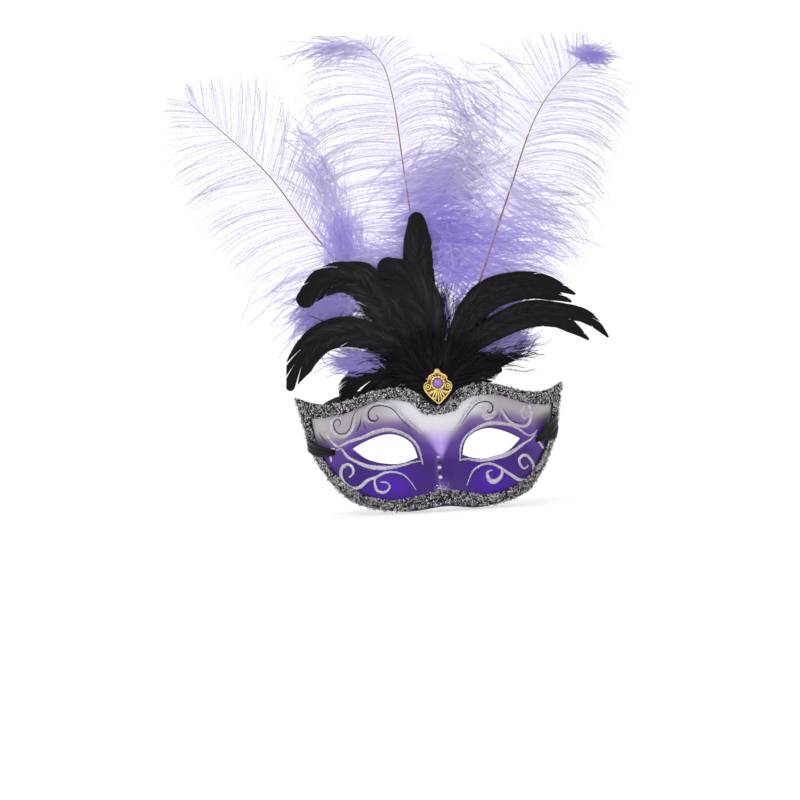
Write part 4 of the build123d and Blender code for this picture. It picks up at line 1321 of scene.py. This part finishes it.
# ---- brooch
BROOCH_BACK = -7.6
BROOCH_PLATE = 1.2
BROOCH_EDGE = [(0, 25.4), (3.3, 28.2), (6.5, 31.6), (8.8, 34.8), (9.5, 37.4), (8.5, 39.8), (6.5, 41.2),
               (6.3, 43.2), (4.6, 45.2), (2.2, 46.2), (0, 46.4)]
BROOCH_MIDDLE = np.array([0, 37.0])
# the pressed plate from its back edge inwards: (share of the outline, rise)
BROOCH_PROFILE = [(1.0, -BROOCH_PLATE), (1.0, -0.25), (0.96, 0.0), (0.9, 0.05), (0.86, -0.3), (0.7, -0.1),
                  (0.5, 0.15), (0.02, 0.25)]
GEM_Z = 39.5
RIB_TOP = 35.4
CLAWS = 12
CLAW_RING = 3.9
front_y = BROOCH_BACK - BROOCH_PLATE
rim_line = spline(BROOCH_EDGE, step=0.5)
rim_line = np.concatenate([rim_line, (rim_line * [-1, 1])[::-1][1:-1]])
plate = Shape()
rings = []
for r, rise in BROOCH_PROFILE:
    p = BROOCH_MIDDLE + (rim_line - BROOCH_MIDDLE) * r
    ray = np.arctan2(p[:, 1] - BROOCH_MIDDLE[1], p[:, 0])
    flute = 0.22 * np.cos(ray * 14) * (0.25 < r < 0.92)
    rings.append(at_depth(p, front_y - rise - flute))
# the pressed ground takes the darker gold: painted shade in the hollows under the wires, ribs and bosses
plate.grid(np.array(rings), 1, closed=True)
plate.join(np.arange(len(rim_line))[::-1])
# a plain wire rim
wire = BROOCH_MIDDLE + (rim_line - BROOCH_MIDDLE) * 0.96
wire = np.concatenate([wire, wire[:1]])
plate.tube(at_depth(wire, np.full(len(wire), front_y - 0.15)), 0.42, sides=8)
# a dished round boss in each side lobe and a small one on each shoulder
for side in (-1, 1):
    for x, z, ring, thick in [(6.5, 37.3, 1.7, 0.42), (4.7, 43.2, 0.85, 0.34)]:
        a = np.linspace(0, 2 * math.pi, 25)
        wire = np.stack([side * x + ring * np.cos(a), z + ring * np.sin(a)], 1)
        plate.tube(at_depth(wire, np.full(len(wire), front_y - 0.4)), thick, sides=8)
        plate.ball((side * x, front_y - 0.3, z), (ring * 0.45, 0.6, ring * 0.45), rows=8, columns=12)
# broad ribs that fan down from the stone to the lower edge
for k in range(-3, 4):
    lean = k * 0.27
    low_z = 26.6 + 0.9 * abs(k) + 0.55 * k * k * 0.5
    share = np.linspace(0, 1, 16)
    x = 12 * math.sin(lean) * (0.2 + 0.62 * share) * (1 - 0.16 * share)
    z = RIB_TOP + (low_z - RIB_TOP) * share
    y = front_y - 0.3 - 0.25 * np.sin(share * math.pi)
    plate.tube(np.stack([x, y, z], 1), np.interp(share, [0, 0.35, 0.8, 1], [0.3, 0.62, 0.5, 0.2]), sides=8)
# curled leaves over and beside the stone
for side in (-1, 1):
    for points, size in [
        ([(2.4, 43.6), (3.4, 45.0), (2.0, 45.4), (0.6, 44.8)], 0.4),
        ([(4.4, 34.6), (6.2, 33.2), (7.6, 34.4), (7.9, 35.2)], 0.36),
    ]:
        wire = spline(points, step=0.35) * [side, 1]
        plate.tube(at_depth(wire, np.full(len(wire), front_y - 0.35)), size, sides=8)
plate.piece("brooch_filigree", [GOLD, GOLD_IN_PAINTED_SHADE], replaces=["brooch_plate"])

# the claws take the same darker gold of painted shade
claws = Shape()
for k in range(CLAWS):
    a = k * math.pi / (CLAWS / 2)
    claw = (CLAW_RING * math.cos(a), front_y - 1.2, GEM_Z + CLAW_RING * math.sin(a))
    claws.ball(claw, (0.42, 0.5, 0.42), rows=6, columns=9)
claws.piece("brooch_claws", GOLD_IN_PAINTED_SHADE)

crown = Shape()
for x, z, across, tall in [(0, 46.7, 2.5, 0.9), (0, 47.9, 2.0, 0.6), (0, 48.6, 1.5, 0.4)]:
    crown.ball((x, front_y - 1.0, z), (across, 1.0, tall), rows=8, columns=16)
crown.piece("brooch_crown", GOLD, replaces=["brooch_finial"])


def repaint(node, material):
    """A CAD node that stays takes a finished material."""
    mesh = NODES[node].data
    mesh.materials.clear()
    mesh.materials.append(material)
    mesh.polygons.foreach_set("material_index", np.zeros(len(mesh.polygons), np.int32))
    mesh.polygons.foreach_set("use_smooth", np.ones(len(mesh.polygons), bool))
    mesh.update()


repaint("brooch_gem", STONE)
repaint("brooch_bezel", GOLD)
repaint("brooch_beads", GOLD)

# ---- binding: tape wound over the quill butts
BINDING_RADIUS = 6.5
BINDING_FRONT = -5.6
BINDING_BACK = 14.0
TAPE_PITCH = 3.2
TAPE_STEP = 0.35
wrap = Shape()
spin = np.linspace(0, 2 * math.pi, 48, endpoint=False)


def binding_ring(y, radius):
    return np.stack([radius * np.cos(spin), np.full(len(spin), y), BINDING_Z + radius * np.sin(spin)], 1)


rings = [binding_ring(BINDING_FRONT, 0.05)]
for y in np.linspace(BINDING_FRONT, BINDING_BACK, 70):
    end = min(1.0, (y - BINDING_FRONT + 0.3) / 1.2, (BINDING_BACK - y + 0.3) / 1.2)
    lap = (y / TAPE_PITCH - spin / (2 * math.pi)) % 1.0
    radius = BINDING_RADIUS - TAPE_STEP + TAPE_STEP * lap
    rings.append(binding_ring(y, radius * math.sqrt(max(0.05, 1 - (1 - end) ** 2))))
rings.append(binding_ring(BINDING_BACK, 0.05))
wrap.grid(np.array(rings), closed=True)
wrap.piece("wrapped_binding", TAPE, replaces=["quill_binding"])

# ---- felt patch inside
PATCH_HALF_WIDTH = 16.0
PATCH_LOW = 5.0
PATCH_HIGH = 34.0
PATCH_CORNER = 6.0
PATCH_CORNER_DROP = 5.4
FELT_THICKNESS = 1.0
felt = Shape()
u = np.linspace(-1, 1, 41)
v = np.linspace(0, 1, 37)
x, z = np.meshgrid(u * PATCH_HALF_WIDTH, PATCH_LOW + v * (PATCH_HIGH - PATCH_LOW))
# round the corners, and cut a bite round the binding
middle_z = (PATCH_LOW + PATCH_HIGH) / 2
corner = np.clip(np.abs(x) - (PATCH_HALF_WIDTH - PATCH_CORNER), 0, PATCH_CORNER) / PATCH_CORNER
vertical = np.abs(z - middle_z) / ((PATCH_HIGH - PATCH_LOW) / 2)
z = z + np.sign(middle_z - z) * vertical ** 3 * (1 - np.sqrt(1 - corner ** 2)) * PATCH_CORNER_DROP
notch = BINDING_RADIUS + 0.4
bite_z = BINDING_Z - np.sqrt(np.clip(notch ** 2 - x ** 2, 0, None))
z = np.where((np.abs(x) < notch) & (z > bite_z), bite_z, z)
flat = np.stack([x.ravel(), z.ravel()], 1)
fuzz = rng.normal(0, 0.05, len(flat))
front = on_mask(flat, fuzz - LAYER_GAP)[0].reshape(x.shape + (3,))
back = on_mask(flat, fuzz - (LAYER_GAP + FELT_THICKNESS))[0].reshape(x.shape + (3,))
felt.grid(front)
felt.grid(back[:, ::-1])
for edge in ((0, slice(None)), (-1, slice(None)), (slice(None), 0), (slice(None), -1)):
    felt.grid(np.stack([front[edge], back[edge]], 0))
felt_piece = felt.piece("felt_backing", FELT, replaces=["felt_patch"])

# ---- floor, light and world
FLOOR_Z = -BOTTOM - 0.8
FLOOR_REACH = 40.0       # metres each way
WORLD_STRENGTH = 1.03
floor = bpy.data.objects.new("floor", bpy.data.meshes.new("floor"))
bpy.context.scene.collection.objects.link(floor)
corners = [(x * FLOOR_REACH, y * FLOOR_REACH, FLOOR_Z * MM) for x, y in ((-1, -1), (1, -1), (1, 1), (-1, 1))]
floor.data.from_pydata(corners, [], [(0, 1, 2, 3)])
floor.data.materials.append(FLOOR)

world = bpy.data.worlds.new("studio")
bpy.context.scene.world = world
world.use_nodes = True
background = world.node_tree.nodes["Background"]
background.inputs["Color"].default_value = (1, 1, 1, 1)
background.inputs["Strength"].default_value = WORLD_STRENGTH


def softbox(name, place, aim, size, power):
    light = bpy.data.lights.new(name, "AREA")
    light.shape = "DISK"
    light.size = size
    light.energy = power
    holder = bpy.data.objects.new(name, light)
    bpy.context.scene.collection.objects.link(holder)
    holder.location = place
    holder.rotation_euler = (Vector(aim) - Vector(place)).to_track_quat("-Z", "Y").to_euler()


softbox("key", (-1.0, -1.7, 1.5), (0, 0, 0.08), 0.7, 12)
softbox("fill", (0.5, -2.2, 0.4), (0, 0, 0.08), 0.16, 3)
softbox("back", (0.2, 1.6, 1.6), (0, 0, 0.1), 1.2, 6)
bpy.context.scene.view_settings.view_transform = "Standard"
